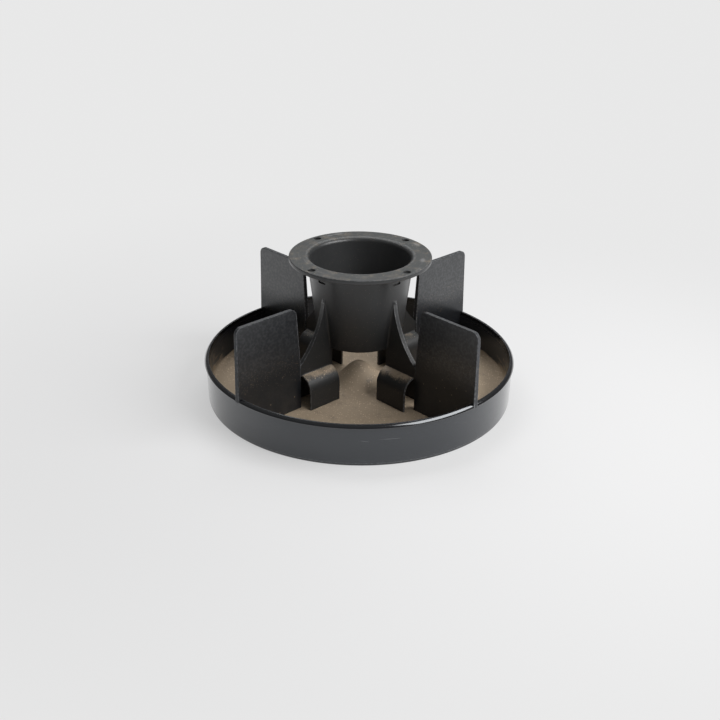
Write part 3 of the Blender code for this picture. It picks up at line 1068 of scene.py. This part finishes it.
@dataclass(frozen=True)
class DividerPlastic:
    """Dark satin plastic with fine pale specks and edges worn light, painted lighter towards the top as
    painted top light, and with a painted reflection on its outer end and top faces.

    A band gives the places where a mask is 0 and 1: the level, the film and the mottle by their
    value, the upper part by its height, and the others as distances from the foot or an edge.
    """

    colour: Colour = (0.007, 0.008, 0.010)
    # light grey of edge wear, and also of the painted top light and the painted reflection on the edge faces
    wear_and_highlight: Colour = (0.190, 0.195, 0.205)
    tint: Colour = (0.94, 0.97, 1.00)
    smooth: Pair = (0.28, 0.38)
    edge_roughness: float = 0.30
    coat_roughness: float = 0.28
    coats: Pair = (0.78, 1.0)
    grain_scales: Pair = (330.0, 2000.0)
    relief: Pair = (0.00012, 0.25)
    upper: Band = (0.062, 0.096)
    # the clouds and the mottle are painted lighter higher up: painted top light
    cloud_shares: Pair = (0.02, 0.06)
    mottle_noise: Pair = (300.0, 5.0)
    mottle: Band = (0.40, 0.66)
    mottle_shares: Pair = (0.02, 0.10)
    border: Band = (0.0015, 0.0005)
    # painted reflection on the outer end face and the top face
    edge_reflection: Band = (0.0012, 0.0004)
    edge_reflection_share: float = 0.16
    worn_width: float = 0.0016
    worn_share: float = 0.90
    film_noise: Pair = (60.0, 5.0)
    film: Band = (0.40, 0.75)
    film_height: Band = (0.070, 0.004)
    film_share: float = 0.03
    level: Band = (0.50, 0.95)
    dust_amount: float = 0.25
    fine_specks: Pair = (640.0, 0.20)
    fine_share: float = 0.22
    large_specks: Pair = (240.0, 0.05)
    large_share: float = 0.24
    large_height: float = 1.5

    def material(self, divider: "Divider") -> bpy.types.Material:
        """Make a divider's material, in the divider's own coordinates.

        Args:
            divider: The divider, for the places of its edges.

        Returns:
            The material.
        """
        surface = Surface(f"divider_plastic_{divider.corner.label}")
        z = surface.z
        place = surface.place.mapped((divider.corner.turn, 0.0, 0.0))
        grain, cloud = GRAIN.on(place, *self.grain_scales)
        rise = z.step(divider.lean_start, divider.top)
        inner = surface.x - divider.inner - rise * divider.lean
        outer = divider.outer - surface.x - rise * divider.outer_lean
        top = divider.top - z
        corner = divider.corner_radius
        into_side = most(corner - inner.math("MINIMUM", outer), 0.0)
        edge = corner - into_side.length(most(corner - top, 0.0))
        half = (divider.top_thickness + divider.foot_thickness) / 4
        aside = abs(surface.y) - (half - divider.rounding / 2)
        worn = WEAR.on(place, edge.length(aside), self.worn_width)[0]
        # painted reflection: the outer end face and the top face are painted lighter
        edge_reflection = outer.math("MINIMUM", top).step(*self.edge_reflection) * self.edge_reflection_share
        border = edge.step(*self.border)

        fine = SPECKS.on(place, *self.fine_specks)[0]
        large = SPECKS.on(place, *self.large_specks)[0]
        dust = DUST.on(place, surface.up.step(*self.level) * self.dust_amount)[0]
        film = (z - divider.foot).step(*self.film_height) * place.noise(*self.film_noise).step(*self.film)
        mottle = place.noise(*self.mottle_noise).step(*self.mottle)
        upper = z.step(*self.upper)
        # painted top light: the clouds and the mottle, the plastic's own tone, are painted lighter towards
        # the top
        colour = layered(self.colour, (cloud * upper.scaled(*self.cloud_shares), self.wear_and_highlight),
                         (mottle * upper.scaled(*self.mottle_shares), self.wear_and_highlight),
                         (film * self.film_share, DUST_COLOUR),
                         (most(worn * self.worn_share, edge_reflection), self.wear_and_highlight), (dust, DUST_COLOUR),
                         (fine * self.fine_share, CRUMB_COLOUR), (large * self.large_share, CRUMB_COLOUR))
        return surface.finish(grain + large * self.large_height, self.relief, {
            "Base Color": colour,
            "Roughness": (cloud.scaled(*self.smooth) + most(border, worn) * self.edge_roughness).clamped(),
            "Specular Tint": self.tint,
            "Coat Weight": upper * (1 - border) * mottle.scaled(*self.coats),
            "Coat Roughness": self.coat_roughness,
        })


@dataclass(frozen=True)
class ZincSteel:
    """Zinc-plated steel, faintly cloudy."""

    bright: Colour = (0.58, 0.59, 0.60)
    clouded: Colour = (0.47, 0.46, 0.43)
    smooth: Pair = (0.28, 0.48)
    grain_scales: Pair = (700.0, 4000.0)
    relief: Pair = (0.00004, 0.30)
    spot_noise: Pair = (480.0, 4.0)
    spots: Band = (0.45, 0.70)

    def material(self) -> bpy.types.Material:
        """Make the fasteners' material.

        Returns:
            The material.
        """
        surface = Surface("zinc_steel")
        spots = surface.place.noise(*self.spot_noise).step(*self.spots)
        return surface.finish(GRAIN.on(surface.place, *self.grain_scales)[0], self.relief, {
            "Base Color": spots.mix(self.bright, self.clouded),
            "Roughness": spots.scaled(*self.smooth),
            "Metallic": 1.0,
        })


@dataclass(frozen=True)
class Tray:
    """The round tray: rolled rim, wall, floor, mound, foot ring, ribs, notches and holes."""

    radius: float
    height: float
    rim_overhang: float = 0.0020
    rim_band: float = 0.0050
    rim_under: float = 0.0010
    crown_edge: float = 0.0010
    crown_radius: float = 0.0080
    crown_tilt: Pair = (27.0, 61.0)
    lip_rounding: float = 0.0012
    wall_thickness: float = 0.0036
    wall_taper: float = 0.0010
    floor_thickness: float = 0.0035
    floor_fillet: float = 0.0080
    mound_radius: float = 0.0440
    mound_height: float = 0.0300
    ring_height: float = 0.0060
    ring_width: float = 0.0100
    base_step: float = 0.0006
    base_step_height: float = 0.0024
    base_step_break: float = 0.3
    base_step_draft: float = 0.00004
    rib_thickness: float = 0.0030
    rib_lift: float = 0.0010
    rib_rounding: float = 0.0004
    rib_count: int = 8

    @classmethod
    def from_frame(cls) -> "Tray":
        """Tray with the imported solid's radius and height."""
        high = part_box("pan_tray")[1]
        return cls(radius=high.x, height=high.z)

    @property
    def floor_top(self) -> float:
        """Height of the floor's upper face."""
        return self.ring_height + self.floor_thickness

    @property
    def rim_low(self) -> float:
        """Height of the rim band's lower edge."""
        return self.height - self.rim_band

    @property
    def wall_foot(self) -> float:
        """Outer radius of the wall at its foot."""
        return self.radius - self.rim_overhang - self.wall_taper

    @property
    def base_radius(self) -> float:
        """Outer radius of the base below the small step."""
        return self.wall_foot - self.base_step

    @property
    def rim_inner(self) -> float:
        """Inner radius of the rim."""
        return self.inner_wall(self.rim_low)

    @property
    def floor_corner(self) -> Point:
        """Centre of the fillet between floor and wall."""
        height = self.floor_top + self.floor_fillet
        return self.inner_wall(height) - self.floor_fillet, height

    def inner_wall(self, height: float) -> float:
        """Inner radius of the wall at a height above the ground."""
        share = (height - self.base_step_height) / (self.rim_low - self.base_step_height)
        return self.wall_foot + self.wall_taper * share - self.wall_thickness

    def crown(self) -> list[Point]:
        """Curve over the rim.

        Returns:
            The points, from the outer side to the flat top.
        """
        first, last = self.crown_tilt
        reach = self.crown_radius - self.crown_edge
        inward = reach * (cos(radians(first)) - cos(radians(last)))
        rise = reach * (sin(radians(last)) - sin(radians(first)))
        low = (self.radius - self.crown_edge, self.height - self.crown_edge - rise)
        middle = (low[0] - reach * cos(radians(first)), low[1] - reach * sin(radians(first)))
        points = arc(low, self.crown_edge, 0, first, FINE.rounding)
        points += arc(middle, self.crown_radius, first, last, FINE.wide_arc)[1:]
        return points + arc((low[0] - inward, low[1] + rise), self.crown_edge, last, 90, FINE.rounding)[1:]

    def profile(self) -> list[Point]:
        """Half section of the tray.

        Returns:
            The points: underside, foot ring, wall, rim, and back over the floor.
        """
        reaches = [self.mound_radius * i / FINE.long_arc for i in range(FINE.long_arc + 1)]
        mound = [(reach, self.floor_top + self.mound_height * (1 + cos(pi * reach / self.mound_radius)) / 2)
                 for reach in reaches]
        under = [(reach, height - self.floor_thickness) for reach, height in mound]
        outer = self.mound_radius + self.rib_thickness
        inner = self.base_radius - self.ring_width
        ring = [(self.mound_radius, self.rib_lift), (outer, self.rib_lift), (outer, self.ring_height),
                (inner, self.ring_height), (inner, 0)]
        step, ledge = self.base_step, self.base_step_height
        broken = step * self.base_step_break
        base = arc((self.base_radius - step, step), step, -90, 0, FINE.rounding)
        base += [(self.base_radius, ledge - step), (self.base_radius + broken, ledge - broken)]
        base += [(self.wall_foot, ledge), (self.wall_foot + self.base_step_draft, ledge + step)]
        edge, lip = self.rim_under, self.lip_rounding
        rim = [(self.radius - self.rim_overhang, self.rim_low)]
        rim += arc((self.radius - edge, self.rim_low + edge), edge, -90, 0, FINE.rounding)
        rim += self.crown() + arc((self.rim_inner + lip, self.height - lip), lip, 90, 180)
        inside = [(self.rim_inner, self.rim_low)]
        inside += arc(self.floor_corner, self.floor_fillet, 0, -90, FINE.wide_arc)
        return under + ring + base + rim + inside + mound[::-1]

    def build(self, holes: Sequence[Vector]) -> None:
        """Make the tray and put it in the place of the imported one.

        Args:
            holes: Places of the screws.
        """
        tray = Shape.turned(self.profile()).thing("tray")
        half = self.rib_thickness / 2
        low = (self.mound_radius + half, -half, self.rib_lift)
        high = (self.base_radius - self.ring_width / 2, half, self.ring_height + self.floor_thickness / 2)
        ribs = [Shape.block(low, high, self.rib_rounding).thing("rib", (i + 0.5) * tau / self.rib_count)
                for i in range(self.rib_count)]
        join(tray, ribs, Joining.ADD)
        half = Divider.at(Corner.REAR_RIGHT).thickness(self.rim_low) / 2 + FITS.slide
        low = (self.rim_inner - self.rim_band, -half, self.rim_low)
        high = (self.radius + self.rim_band, half, self.height + self.rim_band)
        cutters = [Shape.block(low, high).thing("notch", corner.turn) for corner in Corner]
        for place in holes:
            hole = Shape.cylinder(FITS.pilot_radius, 0, self.floor_top + self.floor_thickness)
            cutters.append(hole.moved((place.x, place.y, 0)).thing("hole"))
        join(tray, cutters, Joining.CUT)
        dress(tray, PanPlastic().material(self), ["pan_tray"])


@dataclass(frozen=True)
class Spout:
    """The spout moulding: flange, bell, cone, mouth, gussets, arched feet and bosses."""

    sole: float
    flange_top: float
    flange_radius: float
    flange_thickness: float = 0.0058
    flange_rounding: float = 0.0014
    wall: float = 0.0040
    cone_top_radius: float = 0.0668
    mouth_radius: float = 0.0535
    mouth_height: float = 0.0662
    mouth_rounding: float = 0.0010
    bell_rounding: float = 0.0060
    bell_steps: int = 10
    neck_fillet: float = 0.0040
    neck_steps: int = 8
    bolt_circle: float = 0.0809
    bolt_hole: float = 0.0045
    bolt_chamfer: float = 0.0006
    gusset_thickness: float = 0.0060
    gusset_reach: float = 0.1030
    gusset_top_height: float = 0.1342
    gusset_tip_height: float = 0.0562
    gusset_hollow: float = 0.0081
    gusset_setback: float = 0.0018
    foot_setback: float = 0.0010
    foot_reach: float = 0.1005
    foot_height: float = 0.0435
    foot_radius: float = 0.0190
    foot_wall: float = 0.0030
    foot_rounding: float = 0.00114
    foot_screw_inset: float = 0.0085
    boss_radius: float = 0.0058
    rounding: float = 0.0012
    fillet: float = 0.0022
    fillet_share: float = 0.55
    least_fillet: float = 0.0002
    fillet_ends: Pair = (0.0005, -0.0015)
    fillet_root: float = 0.0008
    bury: float = 0.00006
    slot_drop: float = 0.0144
    slot_width: float = 0.0120
    slot_height: float = 0.0034
    slot_depth: float = 0.0022

    @classmethod
    def from_frame(cls) -> "Spout":
        """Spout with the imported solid's height and flange."""
        low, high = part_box("feed_spout")
        return cls(sole=low.z, flange_top=high.z, flange_radius=high.x)

    @property
    def flange_low(self) -> float:
        """Height of the flange's lower face."""
        return self.flange_top - self.flange_thickness

    @property
    def mouth(self) -> float:
        """Height of the cone's mouth."""
        return self.sole + self.mouth_height

    @property
    def foot_crown(self) -> float:
        """Height of the feet's crowns."""
        return self.sole + self.foot_height

    @property
    def foot_axis(self) -> float:
        """Height of the axis of the feet's arches."""
        return self.foot_crown - self.foot_radius

    @property
    def leg_inner(self) -> float:
        """Radius of the gussets' inner edges."""
        return self.mouth_radius - self.wall + self.gusset_setback

    @property
    def foot_inner(self) -> float:
        """Radius at which the feet begin."""
        return self.leg_inner + self.foot_setback

    @property
    def foot_screw(self) -> float:
        """Radius at which the feet's screws stand."""
        return self.foot_inner + self.foot_screw_inset

    @property
    def bell_radius(self) -> float:
        """Radius at which the bell meets the flange's top."""
        return self.cone(self.flange_top - self.bell_rounding) - self.wall + self.bell_rounding

    @property
    def gusset_bow(self) -> Bow:
        """Curve of a gusset's outer edge.

        Returns:
            The curve, from the cone to the tip.
        """
        top = self.sole + self.gusset_top_height
        tip = (self.gusset_reach, self.sole + self.gusset_tip_height)
        return Bow((self.cone(top), top), tip, self.gusset_hollow)

    def cone(self, height: float) -> float:
        """Outer radius of the cone at a height above the ground."""
        share = (height - self.mouth) / (self.flange_low - self.mouth)
        return self.mouth_radius + (self.cone_top_radius - self.mouth_radius) * share

    def profile(self) -> list[Point]:
        """Half section of the round part.

        Returns:
            The points: flange, neck, cone, mouth, and back up the bore to the bell.
        """
        soft, lip = self.flange_rounding, self.mouth_rounding
        edge = self.flange_radius - soft
        flange = arc((edge, self.flange_top - soft), soft, 90, 0)
        flange += arc((edge, self.flange_low + soft), soft, 0, -90)
        neck_low = self.flange_low - self.neck_fillet
        neck_middle = (self.cone(neck_low) + self.neck_fillet, neck_low)
        neck = arc(neck_middle, self.neck_fillet, 90, 180, self.neck_steps)
        bore = self.mouth_radius - self.wall
        mouth = arc((self.mouth_radius - lip, self.mouth + lip), lip, 0, -90, FINE.rounding)
        mouth += arc((bore + lip, self.mouth + lip), lip, -90, -180, FINE.rounding)
        bell_low = self.flange_top - self.bell_rounding
        bell = arc((self.bell_radius, bell_low), self.bell_rounding, 180, 90, self.bell_steps)
        return flange + neck + mouth + bell

    def gusset(self) -> Shape:
        """One gusset on the X axis, down its curve, along the foot and up inside the wall.

        Returns:
            The solid.
        """
        bow = self.gusset_bow
        top = bow.start[1]
        low = self.foot_crown - self.foot_wall / 2
        buried = self.wall / 2
        outline = bow.points() + [
            (self.gusset_reach, low),
            (self.leg_inner, low),
            (self.leg_inner, self.mouth + buried),
            (self.cone(top) - buried, top),
        ]
        rounded = range(FINE.long_arc + 1)
        return Shape.prism(outline, lambda height: self.gusset_thickness, rounded, self.rounding)

    def foot(self) -> Shape:
        """One arched foot on the X axis, with its outer end's edges rounded.

        Returns:
            The solid.
        """
        axis, inside = self.foot_axis, self.foot_radius - self.foot_wall
        outline = [(self.foot_radius, self.sole)] + arc((0, axis), self.foot_radius, 0, 180, FINE.long_arc)
        outline += [(-self.foot_radius, self.sole), (-inside, self.sole)]
        outline += arc((0, axis), inside, 180, 0, FINE.long_arc) + [(inside, self.sole)]
        middle = self.foot_radius - self.foot_wall / 2
        stations = [(self.foot_inner, 0.0)]
        for angle in (pi / 2 * i / FINE.rounding for i in range(FINE.rounding + 1)):
            x = self.foot_reach - self.foot_rounding * (1 - sin(angle))
            stations.append((x, self.foot_rounding * (1 - cos(angle))))
        sections = []
        for x, shrink in stations:
            section = []
            for y, z in outline:
                reach = hypot(y, max(z - axis, 0.0))
                share = 1 + (-shrink if reach > middle else shrink) / reach
                section.append(Vector((x, y * share, axis + (z - axis) * share if z > axis else z)))
            sections.append(section)
        return Shape.loft(sections)

    def cone_fillet(self, side: int) -> Shape:
        """Hollow fillet between a gusset on the X axis and the cone.

        Args:
            side: 1 or -1, for the gusset's two faces.

        Returns:
            The solid.
        """
        sections = []
        for x, z in self.gusset_bow.points()[::-1]:
            drum = self.cone(z)
            radius = min(self.fillet, self.fillet_share * (x - drum))
            if z >= self.mouth + self.mouth_rounding and radius >= self.least_fillet:
                sections.append([Vector((a, b * side, z)) for a, b in self.fillet_section(radius, drum)])
        return Shape.loft(sections)

    def crown_fillet(self, side: int) -> Shape:
        """Hollow fillet between a gusset on the X axis and its foot's crown.

        Args:
            side: 1 or -1, for the gusset's two faces.

        Returns:
            The solid.
        """
        section = self.fillet_section(self.fillet, self.foot_radius)
        first, last = self.fillet_ends
        return Shape.loft([[Vector((x, b * side, self.foot_axis + a)) for a, b in section]
                           for x in (self.foot_inner + first, self.foot_reach + last)])

    def fillet_section(self, radius: float, drum: float) -> list[Point]:
        """Section of a fillet between a gusset's face and a drum, which the cone and a crown are.

        Args:
            radius: The fillet's radius.
            drum: The drum's radius.

        Returns:
            The section's points, as distances along the face and from the gusset's middle.
        """
        half = self.gusset_thickness / 2
        across = half + radius
        along = sqrt((drum + radius) ** 2 - across ** 2)
        points = arc((along, across), radius, 270, 180 + degrees(atan2(across, along)))
        points[0] = (points[0][0], half - self.bury)
        inward = (drum - self.bury) / hypot(*points[-1])
        points[-1] = (points[-1][0] * inward, points[-1][1] * inward)
        return points + [(sqrt(drum ** 2 - half ** 2) - self.fillet_root, half - self.fillet_root)]

    def slot(self) -> Shape:
        """Cutter on the X axis for one shallow slot in the cone, close under the flange.

        Returns:
            The cutter.
        """
        middle = self.flange_low - self.slot_drop
        wide, high = self.slot_width / 2, self.slot_height / 2
        outer = self.cone(middle)
        return Shape.block((outer - self.slot_depth, -wide, middle - high),
                           (outer + self.wall, wide, middle + high))

    def bolt(self) -> Shape:
        """Cutter on the X axis for one bolt hole, chamfered at the top.

        Returns:
            The cutter.
        """
        chamfer = self.bolt_chamfer
        low, high = self.flange_low - chamfer, self.flange_top + chamfer
        profile = [(0, low), (self.bolt_hole, low), (self.bolt_hole, self.flange_top - chamfer),
                   (self.bolt_hole + 2 * chamfer, high), (0, high)]
        return Shape.turned(profile, FINE.hole).moved((self.bolt_circle, 0, 0))

    def build(self) -> None:
        """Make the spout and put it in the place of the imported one."""
        spout = Shape.turned(self.profile()).thing("spout")
        members = []
        cutters = []
        for corner in Corner:
            boss = Shape.cylinder(self.boss_radius, self.sole, self.foot_crown - self.foot_wall / 2,
                                  self.foot_screw)
            added = [self.gusset(), self.foot(), boss]
            added += [make(side) for make in (self.cone_fillet, self.crown_fillet) for side in (1, -1)]
            members += [shape.thing("member", corner.turn) for shape in added]
            pilot = pilot_hole(self.sole, self.foot_screw)
            cutters += [shape.thing("cut", corner.turn) for shape in (self.bolt(), pilot, self.slot())]
        join(spout, members, Joining.ADD)
        join(spout, cutters, Joining.CUT)
        dress(spout, SpoutPlastic().material(self), ["feed_spout"])


def pilot_hole(foot: float, out: float) -> Shape:
    """Cutter for a screw's pilot hole, up from the height of a foot at a distance along X."""
    return Shape.cylinder(FITS.pilot_radius, foot - FITS.pilot_radius, foot + FITS.pilot_depth, out)


@dataclass(frozen=True)
class Divider:
    """One upright plate, hooked over the rim, with draft and rounded corners."""

    corner: Corner
    foot: float
    top: float
    outer: float
    inner: float
    hook: float
    wall_inner: float
    screw_radii: Pair
    screw_inset: float = 0.0240
    top_thickness: float = 0.0042
    foot_thickness: float = 0.0086
    corner_radius: float = 0.0090
    lean: float = 0.0040
    outer_lean: float = 0.0015
    lean_start_height: float = 0.0607
    rounding: float = 0.0011

    @classmethod
    def at(cls, corner: Corner) -> "Divider":
        """Divider on a diagonal, fitted to the tray and the spout.

        Args:
            corner: Its diagonal.

        Returns:
            The divider.
        """
        low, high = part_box(f"divider_{corner.label}")
        tray = Tray.from_frame()
        inner = Spout.from_frame().gusset_reach + FITS.slide
        screws = (inner + cls.screw_inset, tray.inner_wall(low.z) - cls.screw_inset)
        hook = tray.rim_low + FITS.seat
        wall_inner = tray.inner_wall(hook) - FITS.slide
        return cls(corner, low.z, high.z, tray.radius, inner, hook, wall_inner, screws)

    @property
    def lean_start(self) -> float:
        """Height from which the inner edge leans out."""
        return self.foot + self.lean_start_height

    def thickness(self, height: float) -> float:
        """Thickness of the plate at a height above the ground. It draws in towards the top."""
        share = (height - self.foot) / (self.top - self.foot)
        return self.foot_thickness + (self.top_thickness - self.foot_thickness) * share

    def outline(self) -> tuple[list[Point], int]:
        """Outline in the plate's own plane.

        Returns:
            The points, and the number of the one at the rim.
        """
        tray = Tray.from_frame()
        points = [(self.inner, self.foot)]
        points += arc(tray.floor_corner, tray.floor_fillet - FITS.seat, -90, 0)
        points.append((self.wall_inner, self.hook))
        rim_point = len(points)
        points.append((self.outer, self.hook))
        radius = self.corner_radius
        high = self.top - radius
        points += arc((self.outer - self.outer_lean - radius, high), radius, 0, 90, FINE.wide_arc)
        points += arc((self.inner + self.lean + radius, high), radius, 90, 180, FINE.wide_arc)
        points.append((self.inner, self.lean_start))
        return points, rim_point

    def build(self) -> None:
        """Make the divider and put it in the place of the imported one."""
        outline, rim_point = self.outline()
        shape = Shape.prism(outline, self.thickness, range(rim_point, len(outline)), self.rounding)
        plate = shape.thing(f"plate_{self.corner.label}")
        pilots = [pilot_hole(self.foot, radius).thing("pilot") for radius in self.screw_radii]
        join(plate, pilots, Joining.CUT)
        plate.rotation_euler = (0, 0, self.corner.turn)
        dress(plate, DividerPlastic().material(self), [f"divider_{self.corner.label}"])


@dataclass(frozen=True)
class Screw:
    """Pan-head screw that points up, with a cross recess and a thread."""

    radius: float = 0.0022
    root: float = 0.0017
    pitch: float = 0.0016
    head_radius: float = 0.0045
    head_height: float = 0.0024
    head_edge: float = 0.0003
    shoulder: float = 0.0004
    shoulder_drop: float = 0.75
    crown_radius: float = 0.0032
    crown_height: float = 0.0016
    length: float = 0.0171
    plain_length: float = 0.0035
    blunt: float = 0.8
    recess_width: float = 0.0008
    recess_reach: float = 0.0021
    recess_depth: float = 0.0012
    facets: int = 24
    rings: int = 6

    def reach(self, height: float, share: float) -> float:
        """Radius of the shank.

        Args:
            height: Height above the head's seat.
            share: Share of a turn around it.

        Returns:
            The radius there.
        """
        crest = 1 - abs(2 * ((height / self.pitch - share) % 1.0) - 1)
        full = min(1.0, max(0.0, (height - self.plain_length) / self.pitch))
        taper = min(1.0, max(0.0, (self.length - height) / (2 * self.pitch)))
        bulge = self.root + (self.radius - self.root) * (crest ** 2 * full + 1 - full)
        tip = self.root * self.blunt
        return tip + (bulge - tip) * taper

    def shank(self) -> Shape:
        """Threaded shank, from inside the head to its blunt point.

        Returns:
            The solid.
        """
        count = int((self.length - self.plain_length) / self.pitch * self.rings)
        heights = [-self.crown_height / 2, 0.0]
        heights += [self.plain_length + self.pitch * i / self.rings for i in range(count)]
        sections = []
        for height in heights:
            section = []
            for i in range(self.facets):
                angle = tau * i / self.facets
                reach = self.reach(height, i / self.facets)
                section.append(Vector((reach * cos(angle), reach * sin(angle), height)))
            sections.append(section)
        return Shape.loft(sections)

    def mesh(self) -> bpy.types.Mesh:
        """Whole screw, with the head's seat at height 0.

        Returns:
            The mesh.
        """
        edge, rim = self.head_edge, self.head_radius
        drop = self.head_height - edge
        profile = [(0, 0), (rim - edge, 0), (rim, -edge), (rim, self.crown_height - self.head_height - edge),
                   (rim - self.shoulder, -drop * self.shoulder_drop), (self.crown_radius, -drop),
                   (0, -self.head_height)]
        head = Shape.turned(profile, self.facets).thing("screw")
        join(head, [self.shank().thing("shank")], Joining.ADD)
        arm = (self.recess_reach, self.recess_width / 2, self.recess_depth - self.head_height)
        low = (-arm[0], -arm[1], -2 * self.head_height)
        join(head, [Shape.block(low, arm).thing("recess", turn) for turn in (0, pi / 2)], Joining.CUT)
        return kept_mesh(head)


def kept_mesh(thing: bpy.types.Object) -> bpy.types.Mesh:
    """Mesh of an object that is itself removed.

    Args:
        thing: The object.

    Returns:
        Its mesh.
    """
    mesh = thing.data
    bpy.data.objects.remove(thing)
    return mesh


@dataclass(frozen=True)
class Washer:
    """Flat washer with softly rounded edges."""

    radius: float = 0.0055
    thickness: float = 0.0010
    edge: float = 0.0002
    outer_steps: int = 3
    inner_steps: int = 2

    def mesh(self) -> bpy.types.Mesh:
        """Washer with its upper face at height 0.

        Returns:
            The mesh.
        """
        edge, low = self.edge, self.edge - self.thickness
        outer, inner = self.radius - edge, FITS.pilot_radius + edge
        profile = arc((outer, -edge), edge, 90, 0, self.outer_steps)
        profile += arc((outer, low), edge, 0, -90, self.outer_steps)
        profile += arc((inner, low), edge, -90, -180, self.inner_steps)
        profile += arc((inner, -edge), edge, 180, 90, self.inner_steps)
        return kept_mesh(Shape.turned(profile, FINE.hole).thing("washer"))


@dataclass(frozen=True)
class Fasteners:
    """Screws and washers under the floor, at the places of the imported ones."""

    nodes: tuple[str, ...]
    head_turn: float = 2.4

    @classmethod
    def from_frame(cls, frame: dict) -> "Fasteners":
        """Fasteners for every packed screw and washer in the frame."""
        kinds = ("_screw_", "_washer_")
        return cls(tuple(sorted(n for n in frame["nodes"] if any(kind in n for kind in kinds))))

    def places(self) -> list[Vector]:
        """Centre of each screw."""
        boxes = [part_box(node) for node in self.nodes if "_screw_" in node]
        return [(low + high) / 2 for low, high in boxes]

    def build(self) -> None:
        """Make every screw and washer."""
        screw = Screw()
        meshes = {"screw": screw.mesh(), "washer": Washer().mesh()}
        surface = ZincSteel().material()
        for number, node in enumerate(self.nodes):
            low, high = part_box(node)
            middle = (low + high) / 2
            group, kind, index = node.split("_")
            seat = low.z + screw.head_height if kind == "screw" else high.z
            place = (middle.x, middle.y, seat)
            thing = put(f"{kind}_{group}_{index}", meshes[kind], place, number * self.head_turn)
            dress(thing, surface, [node])


@dataclass(frozen=True)
class Softbox:
    """One soft studio lamp, aimed at the middle of the pan."""

    name: str
    azimuth: float
    elevation: float
    distance: float
    size: Pair
    power: float

    def build(self) -> None:
        """Put the lamp in the scene."""
        data = bpy.data.lights.new(self.name, "AREA")
        data.shape = "RECTANGLE"
        data.size, data.size_y = self.size
        data.energy = self.power
        turn, rise = radians(self.azimuth), radians(self.elevation)
        direction = Vector((cos(rise) * cos(turn), cos(rise) * sin(turn), sin(rise)))
        lamp = put(self.name, data, direction * self.distance)
        lamp.rotation_euler = (-direction).to_track_quat("-Z", "Y").to_euler()


@dataclass(frozen=True)
class Studio:
    """Pale floor, soft light and the photograph's camera."""

    floor_radius: float = 9.0
    floor_facets: int = 96
    floor_colour: Colour = (0.71, 0.71, 0.715)
    floor_clouds: Colour = (0.70, 0.70, 0.71)
    cloud_noise: Pair = (3.0, 2.0)
    cloud_share: float = 0.05
    floor_roughness: float = 0.85
    floor_specular: float = 0.2
    fade: Band = (0.25, 0.90)
    pale: float = 0.81
    near_share: float = 0.55
    surroundings: float = 0.12
    overhead: float = 0.25
    overhead_rise: Band = (0.20, 0.90)
    lens: float = 52.29
    sensor: float = 36.0
    camera_place: tuple[float, float, float] = (0.0259, -1.2303, 0.6397)
    camera_pitch: float = 0.4532
    camera_turn: float = 0.0202
    camera_roll: float = 0.0116
    lamps: tuple[Softbox, ...] = (
        Softbox("right_softbox", -23, 43, 1.6, (1.40, 0.80), 25.0),
        Softbox("rear_softbox", 105, 60, 1.7, (1.60, 0.90), 15.0),
    )

    def floor(self) -> None:
        """Make the plain floor, which turns evenly pale away from the pan."""
        bm = bmesh.new()
        bmesh.ops.create_circle(bm, cap_ends=True, segments=self.floor_facets, radius=self.floor_radius)
        mesh = bpy.data.meshes.new("floor")
        bm.to_mesh(mesh)
        bm.free()
        floor = put("floor", mesh)
        surface = Surface("floor_paper")
        tree = surface.material.node_tree
        cloud = surface.place.noise(*self.cloud_noise) * self.cloud_share
        feed(surface.shader.inputs["Base Color"], cloud.mix(self.floor_colour, self.floor_clouds))
        feed(surface.shader.inputs["Roughness"], self.floor_roughness)
        feed(surface.shader.inputs["Specular IOR Level"], self.floor_specular)
        rays = add_node(tree, "LightPath")
        shown = most(*[Field(rays[f"Is {kind} Ray"]) for kind in ("Camera", "Glossy", "Transmission")])
        share = shown * surface.radius.step(*self.fade).scaled(self.near_share, 1.0)
        glow = add_node(tree, "Emission", {"Color": (self.pale,) * 3})[0]
        blend = add_node(tree, "MixShader", {0: share, 1: surface.shader.outputs[0], 2: glow})[0]
        feed(tree.nodes["Material Output"].inputs["Surface"], blend)
        mesh.materials.append(surface.material)

    def sky(self) -> None:
        """Make the surroundings: a dim room, lighter overhead, and pale in the picture itself."""
        world = bpy.data.worlds.new("studio")
        bpy.context.scene.world = world
        world.use_nodes = True
        tree = world.node_tree
        up = Field(add_node(tree, "TexCoord")["Generated"]).parts()[2]
        level = up.step(*self.overhead_rise).scaled(self.surroundings, self.overhead)
        camera = Field(add_node(tree, "LightPath")["Is Camera Ray"])
        background = tree.nodes["Background"]
        feed(background.inputs["Strength"], camera * (self.pale - level) + level)
        feed(background.inputs["Color"], (1.0, 1.0, 1.0))

    def camera(self) -> None:
        """Put the camera where the photograph was taken from."""
        data = bpy.data.cameras.new("camera")
        data.lens = self.lens
        data.sensor_width = self.sensor
        camera = put("camera", data)
        turn = Matrix.Rotation(self.camera_turn, 4, "Z")
        pitch = Matrix.Rotation(pi / 2 - self.camera_pitch, 4, "X")
        roll = Matrix.Rotation(self.camera_roll, 4, "Z")
        camera.matrix_world = Matrix.Translation(self.camera_place) @ turn @ pitch @ roll
        bpy.context.scene.camera = camera

    def build(self) -> None:
        """Make floor, surroundings, lamps and camera."""
        self.floor()
        self.sky()
        self.camera()
        for lamp in self.lamps:
            lamp.build()
        bpy.context.scene.view_settings.view_transform = "Standard"
        LOG.info("studio: %d lamps", len(self.lamps))


def corners(box: tuple[Vector, Vector]) -> list[list[float]]:
    """Lowest and highest corner of a box as plain numbers."""
    return [[float(value) for value in corner] for corner in box]


def main() -> None:
    """Build every piece in its place, then the studio."""
    logging.basicConfig(level=logging.INFO, format="%(name)s %(message)s")
    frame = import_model()
    fasteners = Fasteners.from_frame(frame)
    Tray.from_frame().build(fasteners.places())
    Spout.from_frame().build()
    for corner in Corner:
        Divider.at(corner).build()
    fasteners.build()
    Studio().build()


if __name__ == "__main__":
    main()
